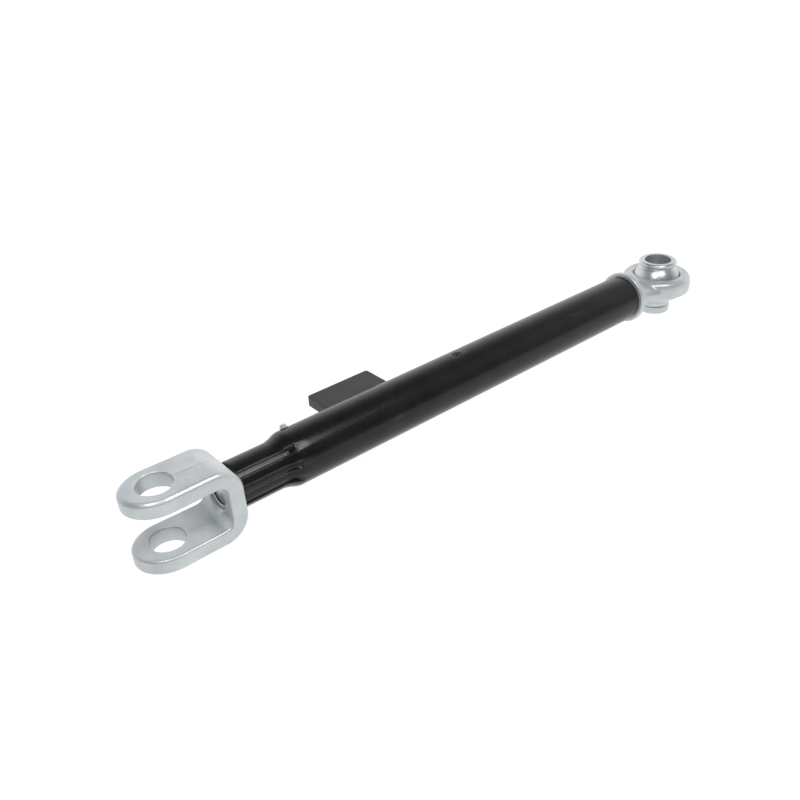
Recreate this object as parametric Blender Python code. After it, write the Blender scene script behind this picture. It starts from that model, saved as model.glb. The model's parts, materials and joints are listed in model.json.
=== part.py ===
"""Tractor lift rod: a levelling strut with a fork at one end and a ball eye at the other.

The strut lies along X, with the fork at -X and the eye at +X. Both pins run along Z.
Working lengths are in millimetres, measured from the fork's pin; MM turns them into metres.
Turning the tube by its plate screws the fork's spindle out of the tube's neck, while the
eye's shank swivels in the tube's other end.
"""
import math

import bmesh
import bpy
from mathutils import Matrix, Vector

MM = 0.001
GAP = 0.3                     # clearance between touching pieces

# ---------------------------------------------------------------- driving dimensions, mm
TUBE_R = 24.15                # outside radius of 48.3 mm steel pipe
TUBE_BORE_R = 19.85
TUBE_END_X = 547.0
NECK_R = 20.2
NECK_BORE_R = 16.5
NECK_X = 59.4                 # mouth of the neck, against the fork's web
SHOULDER_X = (100.0, 112.0)   # where the neck opens out into the tube
FLUTE_DEPTH = 1.2
FLUTE_ANGLES = (129.0, 164.0, 199.0)
FLUTE_HALF_WIDTH = 9.0        # degrees

BAR_T = 14.1                  # thickness of the fork's flat bar
BAR_W = 24.5                  # half of its width
EAR_GAP = 19.3                # half of the gap between the ears
EAR_TIP = 27.8                # each ear's end is half an ellipse, this far past the pin
PIN_R = 14.25                 # pin hole for a 28 mm pin
WEB_X = 45.0                  # inner face of the web
BEND_R = 8.0                  # inner radius of each bend
EDGE_CHAMFER = 2.4            # along the outside of the bar
INNER_CHAMFER = 1.3           # along the inside of the bar

SPINDLE_R = 12.0              # Tr 24 x 5
TRAVEL = 150.0                # how far the spindle screws out
HEAD_R = 14.0
HEAD_X = 48.6
BEAD_R = 9.8                  # inside of the weld that holds the spindle's head
PILOT_R = 10.0
PILOT_X = SHOULDER_X[1] + TRAVEL + 3.6
PILOT_LENGTH = 10.4
STOP_X = (PILOT_X + 0.4, PILOT_X + 4.6)
STOP_R = 18.4
CIRCLIP_X = (PILOT_X + 5.2, PILOT_X + 6.8)
NECK_NUT_X = (64.4, 99.0)
WIPER_X = (60.0, 64.0)

PLATE_X = (176.6, 245.7)
PLATE_Y = (24.6, 65.1)
PLATE_T = 10.0

NIPPLE_X = 119.5
NIPPLE_TILT = 32.0            # degrees from straight up, towards +Y
NIPPLE_BALL_HEIGHT = 25.8     # from the strut's axis
NIPPLE_BALL_STROKE = 0.5
PLUG_X = 302.7
PLUG_R = 4.0
PLUG_Z = (20.4, 23.5)         # from the strut's axis

EYE_X = 612.0                 # centre of the ball
COLLAR_X = (549.5, 556.5)
COLLAR_R = 27.4
SHANK_R = 13.0
SHANK_STEP_X = 505.0          # where the shank steps down to its thread
SHANK_THREAD_R = 10.0
SHANK_TAIL_X = 482.0
BUSH_X = (504.7, 546.4)
SEAL_X = (547.3, 549.2)
SEAL_RADII = (20.6, 23.6)
THRUST_OUTER_X = (546.7, 549.2)
THRUST_OUTER_R = 20.2
THRUST_INNER_X = (501.3, 504.3)
THRUST_INNER_R = 18.6
NUT_X = (484.5, 501.0)
NUT_FLATS = 32.0
SPLIT_PIN_X = 488.0
SPLIT_PIN_R = 1.3
EYE_R = 37.0                  # crown of the eye's band
EYE_EDGE_R = 34.0
EYE_H = 11.5                  # half of the band's height
RACE_R = 31.0
RACE_H = 8.5
BALL_R = 26.8
BALL_BORE_R = 14.25           # for a 28 mm pin
SLEEVE_R = 20.2               # collar on the upper sleeve
SLEEVE_NECK_R = 18.4
SLEEVE_TOP_Z = 26.6
LONG_SLEEVE_R = 17.4          # plain lower sleeve
LONG_SLEEVE_Z = -33.2
BALL_FLAT_Z = 19.0            # where the sphere is cut off above and below

OUTER_H = EAR_GAP + BAR_T
WEB_OUT_X = WEB_X + BAR_T
ORIGIN = Vector((
    (EYE_X + EYE_R - EAR_TIP) / 2.0,
    (PLATE_Y[1] - EYE_R) / 2.0,
    -OUTER_H,
))


# ---------------------------------------------------------------- scene and materials
def clear_scene():
    """Remove every object that the file opens with."""
    for old in list(bpy.data.objects):
        bpy.data.objects.remove(old, do_unlink=True)


def material(name, colour, roughness, metallic):
    """Make a plain Principled material."""
    mat = bpy.data.materials.new(name)
    mat.use_nodes = True
    shader = mat.node_tree.nodes["Principled BSDF"]
    shader.inputs["Base Color"].default_value = (*colour, 1.0)
    shader.inputs["Roughness"].default_value = roughness
    shader.inputs["Metallic"].default_value = metallic
    mat.diffuse_color = (*colour, 1.0)
    return mat


def empty(name, place, parent=None):
    """Add an empty at a place given in millimetres from the fork's pin."""
    node = bpy.data.objects.new(name, None)
    bpy.context.collection.objects.link(node)
    node.empty_display_size = 0.02
    if parent is None:
        node.location = Vector(place) * MM
        return node
    node.parent = parent
    node.location = (Vector(place) - Vector(parent["place"])) * MM
    return node


def joint_empty(name, place, parent):
    """Add the empty that a moving body hangs from, on its joint's axis."""
    node = empty(name, place, parent)
    node["place"] = tuple(place)
    return node


def finish(name, bm, mat, parent, place=(0.0, 0.0, 0.0), turn=(0.0, 0.0, 0.0), sharp=35.0):
    """Turn a bmesh drawn in millimetres into a named, smooth shaded object."""
    bmesh.ops.recalc_face_normals(bm, faces=bm.faces)
    bmesh.ops.scale(bm, vec=(MM, MM, MM), verts=bm.verts)
    mesh = bpy.data.meshes.new(name)
    bm.to_mesh(mesh)
    bm.free()
    mesh.shade_smooth()
    mesh.set_sharp_from_angle(angle=math.radians(sharp))
    obj = bpy.data.objects.new(name, mesh)
    bpy.context.collection.objects.link(obj)
    if mat is not None:
        mesh.materials.append(mat)
    obj.parent = parent
    obj.location = (Vector(place) - Vector(parent["place"])) * MM
    obj.rotation_euler = [math.radians(a) for a in turn]
    return obj


def as_cutter(obj):
    """Hide a cutter from renders and show it as wire."""
    obj.hide_render = True
    obj.display_type = "WIRE"
    return obj


def boolean(obj, other, operation):
    """Add an exact Boolean modifier."""
    mod = obj.modifiers.new(operation.lower() + "_" + other.name, "BOOLEAN")
    mod.operation = operation
    mod.solver = "EXACT"
    mod.object = other


# ---------------------------------------------------------------- shape builders
def arc(centre, radius, start, end, steps):
    """Points along an arc in a plane, angles in degrees."""
    points = []
    for i in range(steps + 1):
        a = math.radians(start + (end - start) * i / steps)
        points.append((centre[0] + radius * math.cos(a), centre[1] + radius * math.sin(a)))
    return points


def lathe(profile, axis, segments):
    """Turn a closed profile of (height, radius) points about the X or Z axis."""
    bm = bmesh.new()
    if axis == "X":
        verts = [bm.verts.new((h, 0.0, r)) for h, r in profile]
        direction = Vector((1.0, 0.0, 0.0))
    else:
        verts = [bm.verts.new((r, 0.0, h)) for h, r in profile]
        direction = Vector((0.0, 0.0, 1.0))
    edges = [bm.edges.new((verts[i], verts[(i + 1) % len(verts)])) for i in range(len(verts))]
    on_axis = [e for e in edges if all(profile[verts.index(v)][1] < 1e-6 for v in e.verts)]
    for edge in on_axis:
        bm.edges.remove(edge)
    bmesh.ops.spin(
        bm, geom=list(bm.verts) + list(bm.edges), cent=(0, 0, 0), axis=direction,
        angle=2.0 * math.pi, steps=segments, use_merge=True,
    )
    bmesh.ops.remove_doubles(bm, verts=bm.verts, dist=1e-4)
    return bm


def prism(outline, low, high, axis):
    """Extrude a closed outline along Y or Z."""
    bm = bmesh.new()
    if axis == "Z":
        verts = [bm.verts.new((a, b, low)) for a, b in outline]
        move = (0.0, 0.0, high - low)
    else:
        verts = [bm.verts.new((a, low, b)) for a, b in outline]
        move = (0.0, high - low, 0.0)
    base = bm.faces.new(verts)
    grown = bmesh.ops.extrude_face_region(bm, geom=[base])
    moved = [v for v in grown["geom"] if isinstance(v, bmesh.types.BMVert)]
    bmesh.ops.translate(bm, vec=move, verts=moved)
    return bm


def loft(rings):
    """Join rings of points, first to last and round to the first again when it is a shell."""
    bm = bmesh.new()
    made = [[bm.verts.new(p) for p in ring] for ring in rings]
    count = len(rings[0])
    for one, two in zip(made, made[1:]):
        for i in range(count):
            j = (i + 1) % count
            bm.faces.new((one[i], one[j], two[j], two[i]))
    return bm, made


def close_shell(bm, made):
    """Join the last ring back to the first, which makes a shell with a bore."""
    count = len(made[0])
    for i in range(count):
        j = (i + 1) % count
        bm.faces.new((made[-1][i], made[-1][j], made[0][j], made[0][i]))


def cap_ends(bm, made):
    """Close the first and last rings with a flat face."""
    bm.faces.new(made[0])
    bm.faces.new(list(reversed(made[-1])))


# ---------------------------------------------------------------- fork and spindle
def fork_outline():
    """The bent bar seen from the side: the outer U, then the inner U back again."""
    outer_r = BEND_R + BAR_T
    bend_x = WEB_X - BEND_R
    bend_z = EAR_GAP - BEND_R
    far = -EAR_TIP - 1.0
    outer = [(far, -OUTER_H)] + arc((bend_x, -bend_z), outer_r, -90.0, 0.0, 10)
    outer += arc((bend_x, bend_z), outer_r, 0.0, 90.0, 10) + [(far, OUTER_H)]
    inner = [(far, EAR_GAP)] + arc((bend_x, bend_z), BEND_R, 90.0, 0.0, 8)
    inner += arc((bend_x, -bend_z), BEND_R, 0.0, -90.0, 8) + [(far, -EAR_GAP)]
    return outer + inner, len(outer)


def rim_edges(bm, points):
    """The edges of both side faces whose ends are all among the given (x, z) points."""
    rim = []
    for edge in bm.edges:
        keys = [(round(v.co.x, 3), round(v.co.z, 3)) for v in edge.verts]
        along = abs(edge.verts[0].co.y - edge.verts[1].co.y) < 1e-6
        if along and keys[0] != keys[1] and all(k in points for k in keys):
            rim.append(edge)
    return rim


def add_fork(mat, parent):
    """The fork: a flat bar bent into a U, round ears, pin holes and a hole in its web."""
    outline, outer_count = fork_outline()
    bm = prism(outline, -BAR_W, BAR_W, "Y")
    outer_points = {(round(x, 3), round(z, 3)) for x, z in outline[:outer_count]}
    rim = rim_edges(bm, outer_points)
    bmesh.ops.bevel(bm, geom=rim, offset=EDGE_CHAMFER, segments=1, affect="EDGES")
    inner_points = {(round(x, 3), round(z, 3)) for x, z in outline[outer_count:]}
    bmesh.ops.bevel(bm, geom=rim_edges(bm, inner_points), offset=INNER_CHAMFER, segments=1,
                    affect="EDGES")
    fork = finish("fork", bm, mat, parent)

    half = BAR_W + 0.4
    tip = [(x * EAR_TIP, y * half) for x, y in arc((0.0, 0.0), 1.0, 90.0, 270.0, 28)]
    tip += [(WEB_OUT_X + 9.0, -half), (WEB_OUT_X + 9.0, half)]
    bm = prism(tip, -OUTER_H - 0.5, OUTER_H + 0.5, "Z")
    flat = [e for e in bm.edges if abs(e.verts[0].co.z - e.verts[1].co.z) < 1e-6]
    bmesh.ops.bevel(bm, geom=flat, offset=EDGE_CHAMFER + 0.5, segments=1, affect="EDGES")
    boolean(fork, as_cutter(finish("cut_ear_tips", bm, None, parent)), "INTERSECT")

    wide = PIN_R + 1.2
    reach = OUTER_H + 0.4
    hole = [(-reach, 0.0), (-reach, wide), (-OUTER_H + 0.8, PIN_R)]
    hole += [(OUTER_H - 0.8, PIN_R), (reach, wide), (reach, 0.0)]
    pin_cut = finish("cut_pin_holes", lathe(hole, "Z", 48), None, parent)
    boolean(fork, as_cutter(pin_cut), "DIFFERENCE")

    socket = HEAD_R + GAP
    bore = [(WEB_X - 2.0, 0.0), (WEB_X - 2.0, socket + 1.2), (WEB_X + 0.8, socket)]
    bore += [(WEB_OUT_X + 2.0, socket), (WEB_OUT_X + 2.0, 0.0)]
    web_cut = finish("cut_web_socket", lathe(bore, "X", 36), None, parent)
    boolean(fork, as_cutter(web_cut), "DIFFERENCE")
    return fork


def add_spindle(mat, parent):
    """The screw: a head seated in the web, the threaded length and a grooved pilot."""
    groove_x = (CIRCLIP_X[0] - GAP, CIRCLIP_X[1] + GAP)
    end_x = PILOT_X + PILOT_LENGTH
    profile = [
        (HEAD_X, 0.0), (HEAD_X, HEAD_R - 1.0), (HEAD_X + 1.0, HEAD_R),
        (WEB_OUT_X - GAP, HEAD_R), (WEB_OUT_X - GAP, SPINDLE_R),
        (PILOT_X - 1.5, SPINDLE_R), (PILOT_X, SPINDLE_R - 1.5), (PILOT_X, PILOT_R),
        (groove_x[0], PILOT_R), (groove_x[0], PILOT_R - 1.1),
        (groove_x[1], PILOT_R - 1.1), (groove_x[1], PILOT_R),
        (end_x - 1.2, PILOT_R), (end_x, PILOT_R - 1.2), (end_x, 0.0),
    ]
    return finish("spindle", lathe(profile, "X", 32), mat, parent)


def add_spindle_bead(mat, parent):
    """The weld that holds the spindle's head in the web."""
    low = HEAD_X - GAP
    profile = [(low, BEAD_R), (low, HEAD_R - 0.7), (low - 0.7, HEAD_R - 0.5)]
    profile += [(low - 1.5, HEAD_R - 1.3), (low - 1.9, HEAD_R - 2.4), (low - 1.4, HEAD_R - 3.7)]
    return finish("spindle_weld", lathe(profile, "X", 32), mat, parent)


def ring(name, mat, parent, span, inner, outer, edge=0.5, segments=28):
    """A turned ring with chamfered outer edges, lying on the X axis."""
    start, end = span
    profile = [(start, inner), (start, outer - edge), (start + edge, outer)]
    profile += [(end - edge, outer), (end, outer - edge), (end, inner)]
    return finish(name, lathe(profile, "X", segments), mat, parent)


def add_circlip(mat, parent):
    """An open retaining ring in the pilot's groove, with its two ears."""
    outer = PILOT_R + 2.2
    inner = PILOT_R - 0.8
    gap = 18.0
    outline = [(outer * math.cos(math.radians(a)), outer * math.sin(math.radians(a)))
               for a in [gap + (360.0 - 2.0 * gap) * i / 24 for i in range(25)]]
    back = [(inner * math.cos(math.radians(a)), inner * math.sin(math.radians(a)))
            for a in [360.0 - gap - (360.0 - 2.0 * gap) * i / 24 for i in range(25)]]
    bm = prism(outline + back, *CIRCLIP_X, "Z")
    bmesh.ops.rotate(bm, verts=bm.verts, cent=(0, 0, 0), matrix=Matrix.Rotation(math.pi / 2, 3, "Y"))
    return finish("spindle_circlip", bm, mat, parent)


# ---------------------------------------------------------------- tube and what is on it
def flute(angle):
    """Depth of the pressed flutes at an angle round the neck, from 0 to 1."""
    depth = 0.0
    for centre in FLUTE_ANGLES:
        for side in (0.0, 180.0):
            away = abs((angle - centre - side + 180.0) % 360.0 - 180.0)
            if away < FLUTE_HALF_WIDTH:
                depth = max(depth, 0.5 + 0.5 * math.cos(math.pi * away / FLUTE_HALF_WIDTH))
    return depth


def tube_ring(x, radius, fluted, segments=72):
    """One ring of the tube's surface, pressed in at the flutes by the given share."""
    points = []
    for i in range(segments):
        degrees = 360.0 * i / segments
        r = radius - FLUTE_DEPTH * fluted * flute(degrees)
        a = math.radians(degrees)
        points.append((x, r * math.cos(a), r * math.sin(a)))
    return points


def add_tube(mat, parent):
    """The tube, drawn down to a fluted neck at the fork's end."""
    start, end = SHOULDER_X
    outside = [
        (NECK_X, NECK_R - 0.8, 1.0), (NECK_X + 0.8, NECK_R, 1.0), (start - 4.0, NECK_R, 1.0),
        (start, NECK_R + 0.2, 1.0), (start + 3.0, NECK_R + 1.2, 1.3),
        (end - 3.0, TUBE_R - 0.9, 1.0), (end, TUBE_R, 0.0),
        (TUBE_END_X - 0.8, TUBE_R, 0.0), (TUBE_END_X, TUBE_R - 0.8, 0.0),
    ]
    inside = [
        (TUBE_END_X, TUBE_BORE_R + 0.6, 0.0), (TUBE_END_X - 0.6, TUBE_BORE_R, 0.0),
        (end + 2.0, TUBE_BORE_R, 0.0), (start + 3.0, NECK_BORE_R, 0.0), (NECK_X, NECK_BORE_R, 0.0),
    ]
    bm, made = loft([tube_ring(*row) for row in outside + inside])
    close_shell(bm, made)
    tube = finish("tube", bm, mat, parent)
    under = TUBE_BORE_R - 2.85
    drill = [(under, 0.0), (under, 3.4), (30.0, 3.4), (30.0, 0.0)]
    nipple = finish("cut_nipple_hole", lathe(drill, "Z", 24), None, parent,
                    (NIPPLE_X, 0.0, 0.0), (-NIPPLE_TILT, 0.0, 0.0))
    boolean(tube, as_cutter(nipple), "DIFFERENCE")
    wall = PLUG_R + GAP
    tapped = [(under, 0.0), (under, wall), (23.4, wall), (25.0, wall + 1.6), (25.0, 0.0)]
    plug = finish("cut_plug_hole", lathe(tapped, "Z", 28), None, parent, (PLUG_X, 0.0, 0.0))
    boolean(tube, as_cutter(plug), "DIFFERENCE")
    return tube


def add_turning_plate(mat, parent):
    """The flat plate that turns the tube, with rounded corners and broken edges."""
    near, far = PLATE_Y
    low, high = PLATE_X
    r = 2.5
    outline = [(low, near), (high, near)]
    outline += arc((high - r, far - r), r, 0.0, 90.0, 5) + arc((low + r, far - r), r, 90.0, 180.0, 5)
    bm = prism(outline, -PLATE_T / 2.0, PLATE_T / 2.0, "Z")
    flat = [e for e in bm.edges if abs(e.verts[0].co.z - e.verts[1].co.z) < 1e-6]
    flat = [e for e in flat if max(v.co.y for v in e.verts) > near + 1.0]
    bmesh.ops.bevel(bm, geom=flat, offset=0.6, segments=1, affect="EDGES")
    return finish("turning_plate", bm, mat, parent)


def add_plate_weld(name, side, mat, parent):
    """A fillet weld along the plate, on its upper (+1) or lower (-1) face."""
    foot = PLATE_T / 2.0 + GAP
    low, high = PLATE_X
    rings = []
    steps = 16
    for i in range(steps + 1):
        x = low + 0.5 + (high - low - 1.0) * i / steps
        end = min(i, steps - i)
        size = 0.72 if end == 0 else (0.92 if end == 1 else 1.0 + 0.05 * math.sin(2.4 * i))
        corner = (math.sqrt((TUBE_R + 0.45) ** 2 - foot ** 2), foot)
        up = math.degrees(math.asin(foot / (TUBE_R + 0.4))) + 11.5 * size
        lie = math.radians(up)
        top = ((TUBE_R + 0.4) * math.cos(lie), (TUBE_R + 0.4) * math.sin(lie))
        toe = (corner[0] + 5.2 * size, foot)
        middle = ((top[0] + toe[0]) / 2.0 + 0.35, (top[1] + toe[1]) / 2.0 + 0.35)
        rings.append([(x, p[0], side * p[1]) for p in (corner, toe, middle, top)])
    bm, made = loft(rings)
    cap_ends(bm, made)
    return finish(name, bm, mat, parent)


def add_plug(mat, parent):
    """The flush set screw that closes the tapped hole on top of the tube."""
    low, top = PLUG_Z
    profile = [(low, 0.0), (low, PLUG_R - 0.4), (low + 0.4, PLUG_R), (top - 0.5, PLUG_R)]
    profile += [(top, PLUG_R - 0.5), (top, 2.0), (top - 1.6, 2.0), (top - 1.6, 0.0)]
    return finish("plug_screw", lathe(profile, "Z", 20), mat, parent, (PLUG_X, 0.0, 0.0))


def add_nipple(mat, parent):
    """The low grease nipple: stem, flange, round head, and the bore for its check ball."""
    profile = [
        (20.4, 0.9), (20.4, 2.7), (20.8, 3.0), (24.5, 3.0), (24.5, 3.7), (25.2, 3.7),
        (25.5, 3.2), (26.0, 2.6), (26.4, 2.9), (27.0, 2.9), (27.5, 2.3), (27.8, 1.5),
        (27.8, 0.95), (27.0, 0.95), (27.0, 1.75), (21.4, 1.75), (21.4, 0.9),
    ]
    return finish("grease_nipple", lathe(profile, "Z", 20), mat, parent,
                  (NIPPLE_X, 0.0, 0.0), (-NIPPLE_TILT, 0.0, 0.0))


def along_nipple(height):
    """A point on the nipple's own axis, at a height from the strut's axis."""
    a = math.radians(NIPPLE_TILT)
    return (NIPPLE_X, height * math.sin(a), height * math.cos(a))


def add_nipple_ball(mat, parent):
    """The nipple's check ball."""
    bm = bmesh.new()
    bmesh.ops.create_icosphere(bm, subdivisions=2, radius=1.3)
    return finish("nipple_ball", bm, mat, parent, along_nipple(NIPPLE_BALL_HEIGHT))


def add_nipple_spring(mat, parent):
    """The check ball's coil spring."""
    turns = 3.0
    steps = 30
    wire = 0.17
    radius = 1.2
    low = 21.9
    rise = NIPPLE_BALL_HEIGHT - 1.3 - NIPPLE_BALL_STROKE - 0.4 - low
    rings = []
    for i in range(steps + 1):
        a = 2.0 * math.pi * turns * i / steps
        out = Vector((math.cos(a), math.sin(a), 0.0))
        centre = out * radius + Vector((0.0, 0.0, low + rise * i / steps))
        circle = [2.0 * math.pi * k / 5 for k in range(5)]
        rings.append([centre + out * (wire * math.cos(b)) + Vector((0.0, 0.0, wire * math.sin(b)))
                      for b in circle])
    bm, made = loft(rings)
    cap_ends(bm, made)
    return finish("nipple_spring", bm, mat, parent,
                  (NIPPLE_X, 0.0, 0.0), (-NIPPLE_TILT, 0.0, 0.0))


# ---------------------------------------------------------------- eye, swivel and ball
def eye_band():
    """The band round the ball: crowned outside, solid inside until it is bored."""
    low = -EYE_H
    profile = [(low, 0.0), (low, EYE_EDGE_R - 2.0), (low + 1.2, EYE_EDGE_R)]
    crown = EYE_R - EYE_EDGE_R
    for i in range(5):
        t = -1.0 + 2.0 * (i + 1) / 6.0
        z = t * (EYE_H - 1.2)
        profile.append((z, EYE_EDGE_R + crown * math.sqrt(1.0 - t * t)))
    profile += [(EYE_H - 1.2, EYE_EDGE_R), (EYE_H, EYE_EDGE_R - 2.0), (EYE_H, 0.0)]
    return lathe(profile, "Z", 48)


def eye_root():
    """The forged waist between the collar and the band, oval in section."""
    sections = [(COLLAR_X[0] + 3.0, 22.6, 21.6), (COLLAR_X[1] + 1.5, 22.4, 19.8)]
    sections += [(566.0, 22.0, 15.5), (574.0, 23.5, 12.0), (584.0, 26.0, 10.2), (596.0, 26.6, 9.0)]
    rings = []
    turns = [2.0 * math.pi * i / 28 for i in range(28)]
    for x, half_y, half_z in sections:
        rings.append([(x, half_y * math.cos(a), half_z * math.sin(a)) for a in turns])
    bm, made = loft(rings)
    cap_ends(bm, made)
    return bm


def add_eye(mat, parent):
    """The eye forging: collar, swivel shank, waist and band, bored for the race."""
    start, end = COLLAR_X
    tail_x = SHANK_TAIL_X
    step_x = SHANK_STEP_X
    body = [
        (tail_x, 0.0), (tail_x, SHANK_THREAD_R - 1.2), (tail_x + 1.2, SHANK_THREAD_R),
        (step_x, SHANK_THREAD_R), (step_x, SHANK_R - 0.8), (step_x + 0.8, SHANK_R),
        (start, SHANK_R), (start, COLLAR_R - 1.0), (start + 1.0, COLLAR_R),
        (end - 2.2, COLLAR_R), (end - 0.6, COLLAR_R - 0.9), (end, COLLAR_R - 2.4), (end, 0.0),
    ]
    eye = finish("eye_housing", lathe(body, "X", 40), mat, parent)
    root = finish("add_eye_root", eye_root(), None, parent)
    boolean(eye, as_cutter(root), "UNION")
    band = finish("add_eye_band", eye_band(), None, parent, (EYE_X, 0.0, 0.0))
    boolean(eye, as_cutter(band), "UNION")
    groove = RACE_H + GAP
    lip = math.sqrt(BALL_R ** 2 - groove ** 2) + GAP
    mouth = lip + 0.6
    half = [(groove, RACE_R + GAP), (groove, lip), (EYE_H - 0.6, lip), (EYE_H, mouth)]
    half += [(EYE_H + 5.0, mouth), (EYE_H + 5.0, 0.0)]
    bore = [(-z, r) for z, r in reversed(half)] + half
    cut = finish("cut_eye_bore", lathe(bore, "Z", 44), None, parent, (EYE_X, 0.0, 0.0))
    boolean(eye, as_cutter(cut), "DIFFERENCE")
    hole_r = SPLIT_PIN_R + 0.5
    drill = [(-20.0, 0.0), (-20.0, hole_r), (20.0, hole_r), (20.0, 0.0)]
    pin = finish("cut_split_pin", lathe(drill, "Z", 20), None, parent, (SPLIT_PIN_X, 0.0, 0.0))
    boolean(eye, as_cutter(pin), "DIFFERENCE")
    return eye


def add_swivel_nut(mat, parent):
    """The castle nut that keeps the shank in the tube."""
    low, high = NUT_X
    corner = NUT_FLATS / math.sqrt(3.0)
    outline = [(corner * math.cos(math.radians(30.0 + 60.0 * i)),
                corner * math.sin(math.radians(30.0 + 60.0 * i))) for i in range(6)]
    bm = prism(outline, low, high, "Z")
    bmesh.ops.rotate(bm, verts=bm.verts, cent=(0, 0, 0), matrix=Matrix.Rotation(math.pi / 2, 3, "Y"))
    nut = finish("swivel_nut", bm, mat, parent)
    bore_r = SHANK_THREAD_R + 0.4
    bore = [(low - 2.0, 0.0), (low - 2.0, bore_r), (high + 2.0, bore_r), (high + 2.0, 0.0)]
    boolean(nut, as_cutter(finish("cut_nut_bore", lathe(bore, "X", 32), None, parent)), "DIFFERENCE")
    for i in range(3):
        bm = bmesh.new()
        bmesh.ops.create_cube(bm, size=1.0)
        bmesh.ops.scale(bm, vec=(14.0, 4.4, 50.0), verts=bm.verts)
        slot = finish("cut_nut_slot_%d" % i, bm, None, parent, (low, 0.0, 0.0), (60.0 * i, 0.0, 0.0))
        boolean(nut, as_cutter(slot), "DIFFERENCE")
    return nut


def add_split_pin(mat, parent):
    """The split pin through the castle nut, its ends bent over."""
    path = [(6.0, 17.8), (3.0, 17.7), (1.0, 17.1), (0.0, 15.4), (0.0, 5.0), (0.0, -5.0)]
    path += [(0.0, -15.4), (-1.0, -17.1), (-3.0, -17.7), (-5.0, -17.8)]
    rings = []
    for i, (x, z) in enumerate(path):
        before = path[max(i - 1, 0)]
        after = path[min(i + 1, len(path) - 1)]
        run = Vector((after[0] - before[0], 0.0, after[1] - before[1])).normalized()
        side = Vector((0.0, 1.0, 0.0)).cross(run)
        circle = [2.0 * math.pi * k / 8 for k in range(8)]
        wire = [(SPLIT_PIN_R * math.cos(b), SPLIT_PIN_R * math.sin(b)) for b in circle]
        rings.append([Vector((x, 0.0, z)) + side * a + Vector((0.0, b, 0.0)) for a, b in wire])
    bm, made = loft(rings)
    cap_ends(bm, made)
    return finish("split_pin", bm, mat, parent, (SPLIT_PIN_X, 0.0, 0.0))


def add_race(mat, parent):
    """The race that the ball turns in, swaged into the eye."""
    inner = []
    for i in range(6):
        z = RACE_H - 2.0 * RACE_H * i / 5
        inner.append((z, math.sqrt((BALL_R + GAP) ** 2 - z * z)))
    profile = [(-RACE_H, RACE_R - 0.5), (-RACE_H + 0.5, RACE_R), (RACE_H - 0.5, RACE_R)]
    profile += [(RACE_H, RACE_R - 0.5)] + inner
    return finish("ball_race", lathe(profile, "Z", 40), mat, parent, (EYE_X, 0.0, 0.0))


def add_ball(mat, parent):
    """The ball: a bored sphere with a collared upper sleeve and a longer plain lower one."""
    top = SLEEVE_TOP_Z
    low = LONG_SLEEVE_Z
    upper = [(top, BALL_BORE_R + 0.5), (top, SLEEVE_R - 1.6), (top - 1.4, SLEEVE_R)]
    upper += [(top - 3.8, SLEEVE_R), (top - 5.2, SLEEVE_NECK_R), (BALL_FLAT_Z + 1.2, SLEEVE_NECK_R)]
    sphere = []
    flat = math.asin(BALL_FLAT_Z / BALL_R)
    for i in range(11):
        a = flat - 2.0 * flat * i / 10
        sphere.append((BALL_R * math.sin(a), BALL_R * math.cos(a)))
    lower = [(-BALL_FLAT_Z - 1.2, LONG_SLEEVE_R - 0.6), (low + 9.0, LONG_SLEEVE_R - 0.6)]
    lower += [(low + 8.0, LONG_SLEEVE_R), (low + 1.4, LONG_SLEEVE_R), (low, LONG_SLEEVE_R - 1.2)]
    bore = [(low, BALL_BORE_R + 0.5), (low + 0.5, BALL_BORE_R), (top - 0.5, BALL_BORE_R)]
    profile = upper + sphere + lower + bore
    return finish("ball", lathe(profile, "Z", 40), mat, parent, (EYE_X, 0.0, 0.0))


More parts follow.
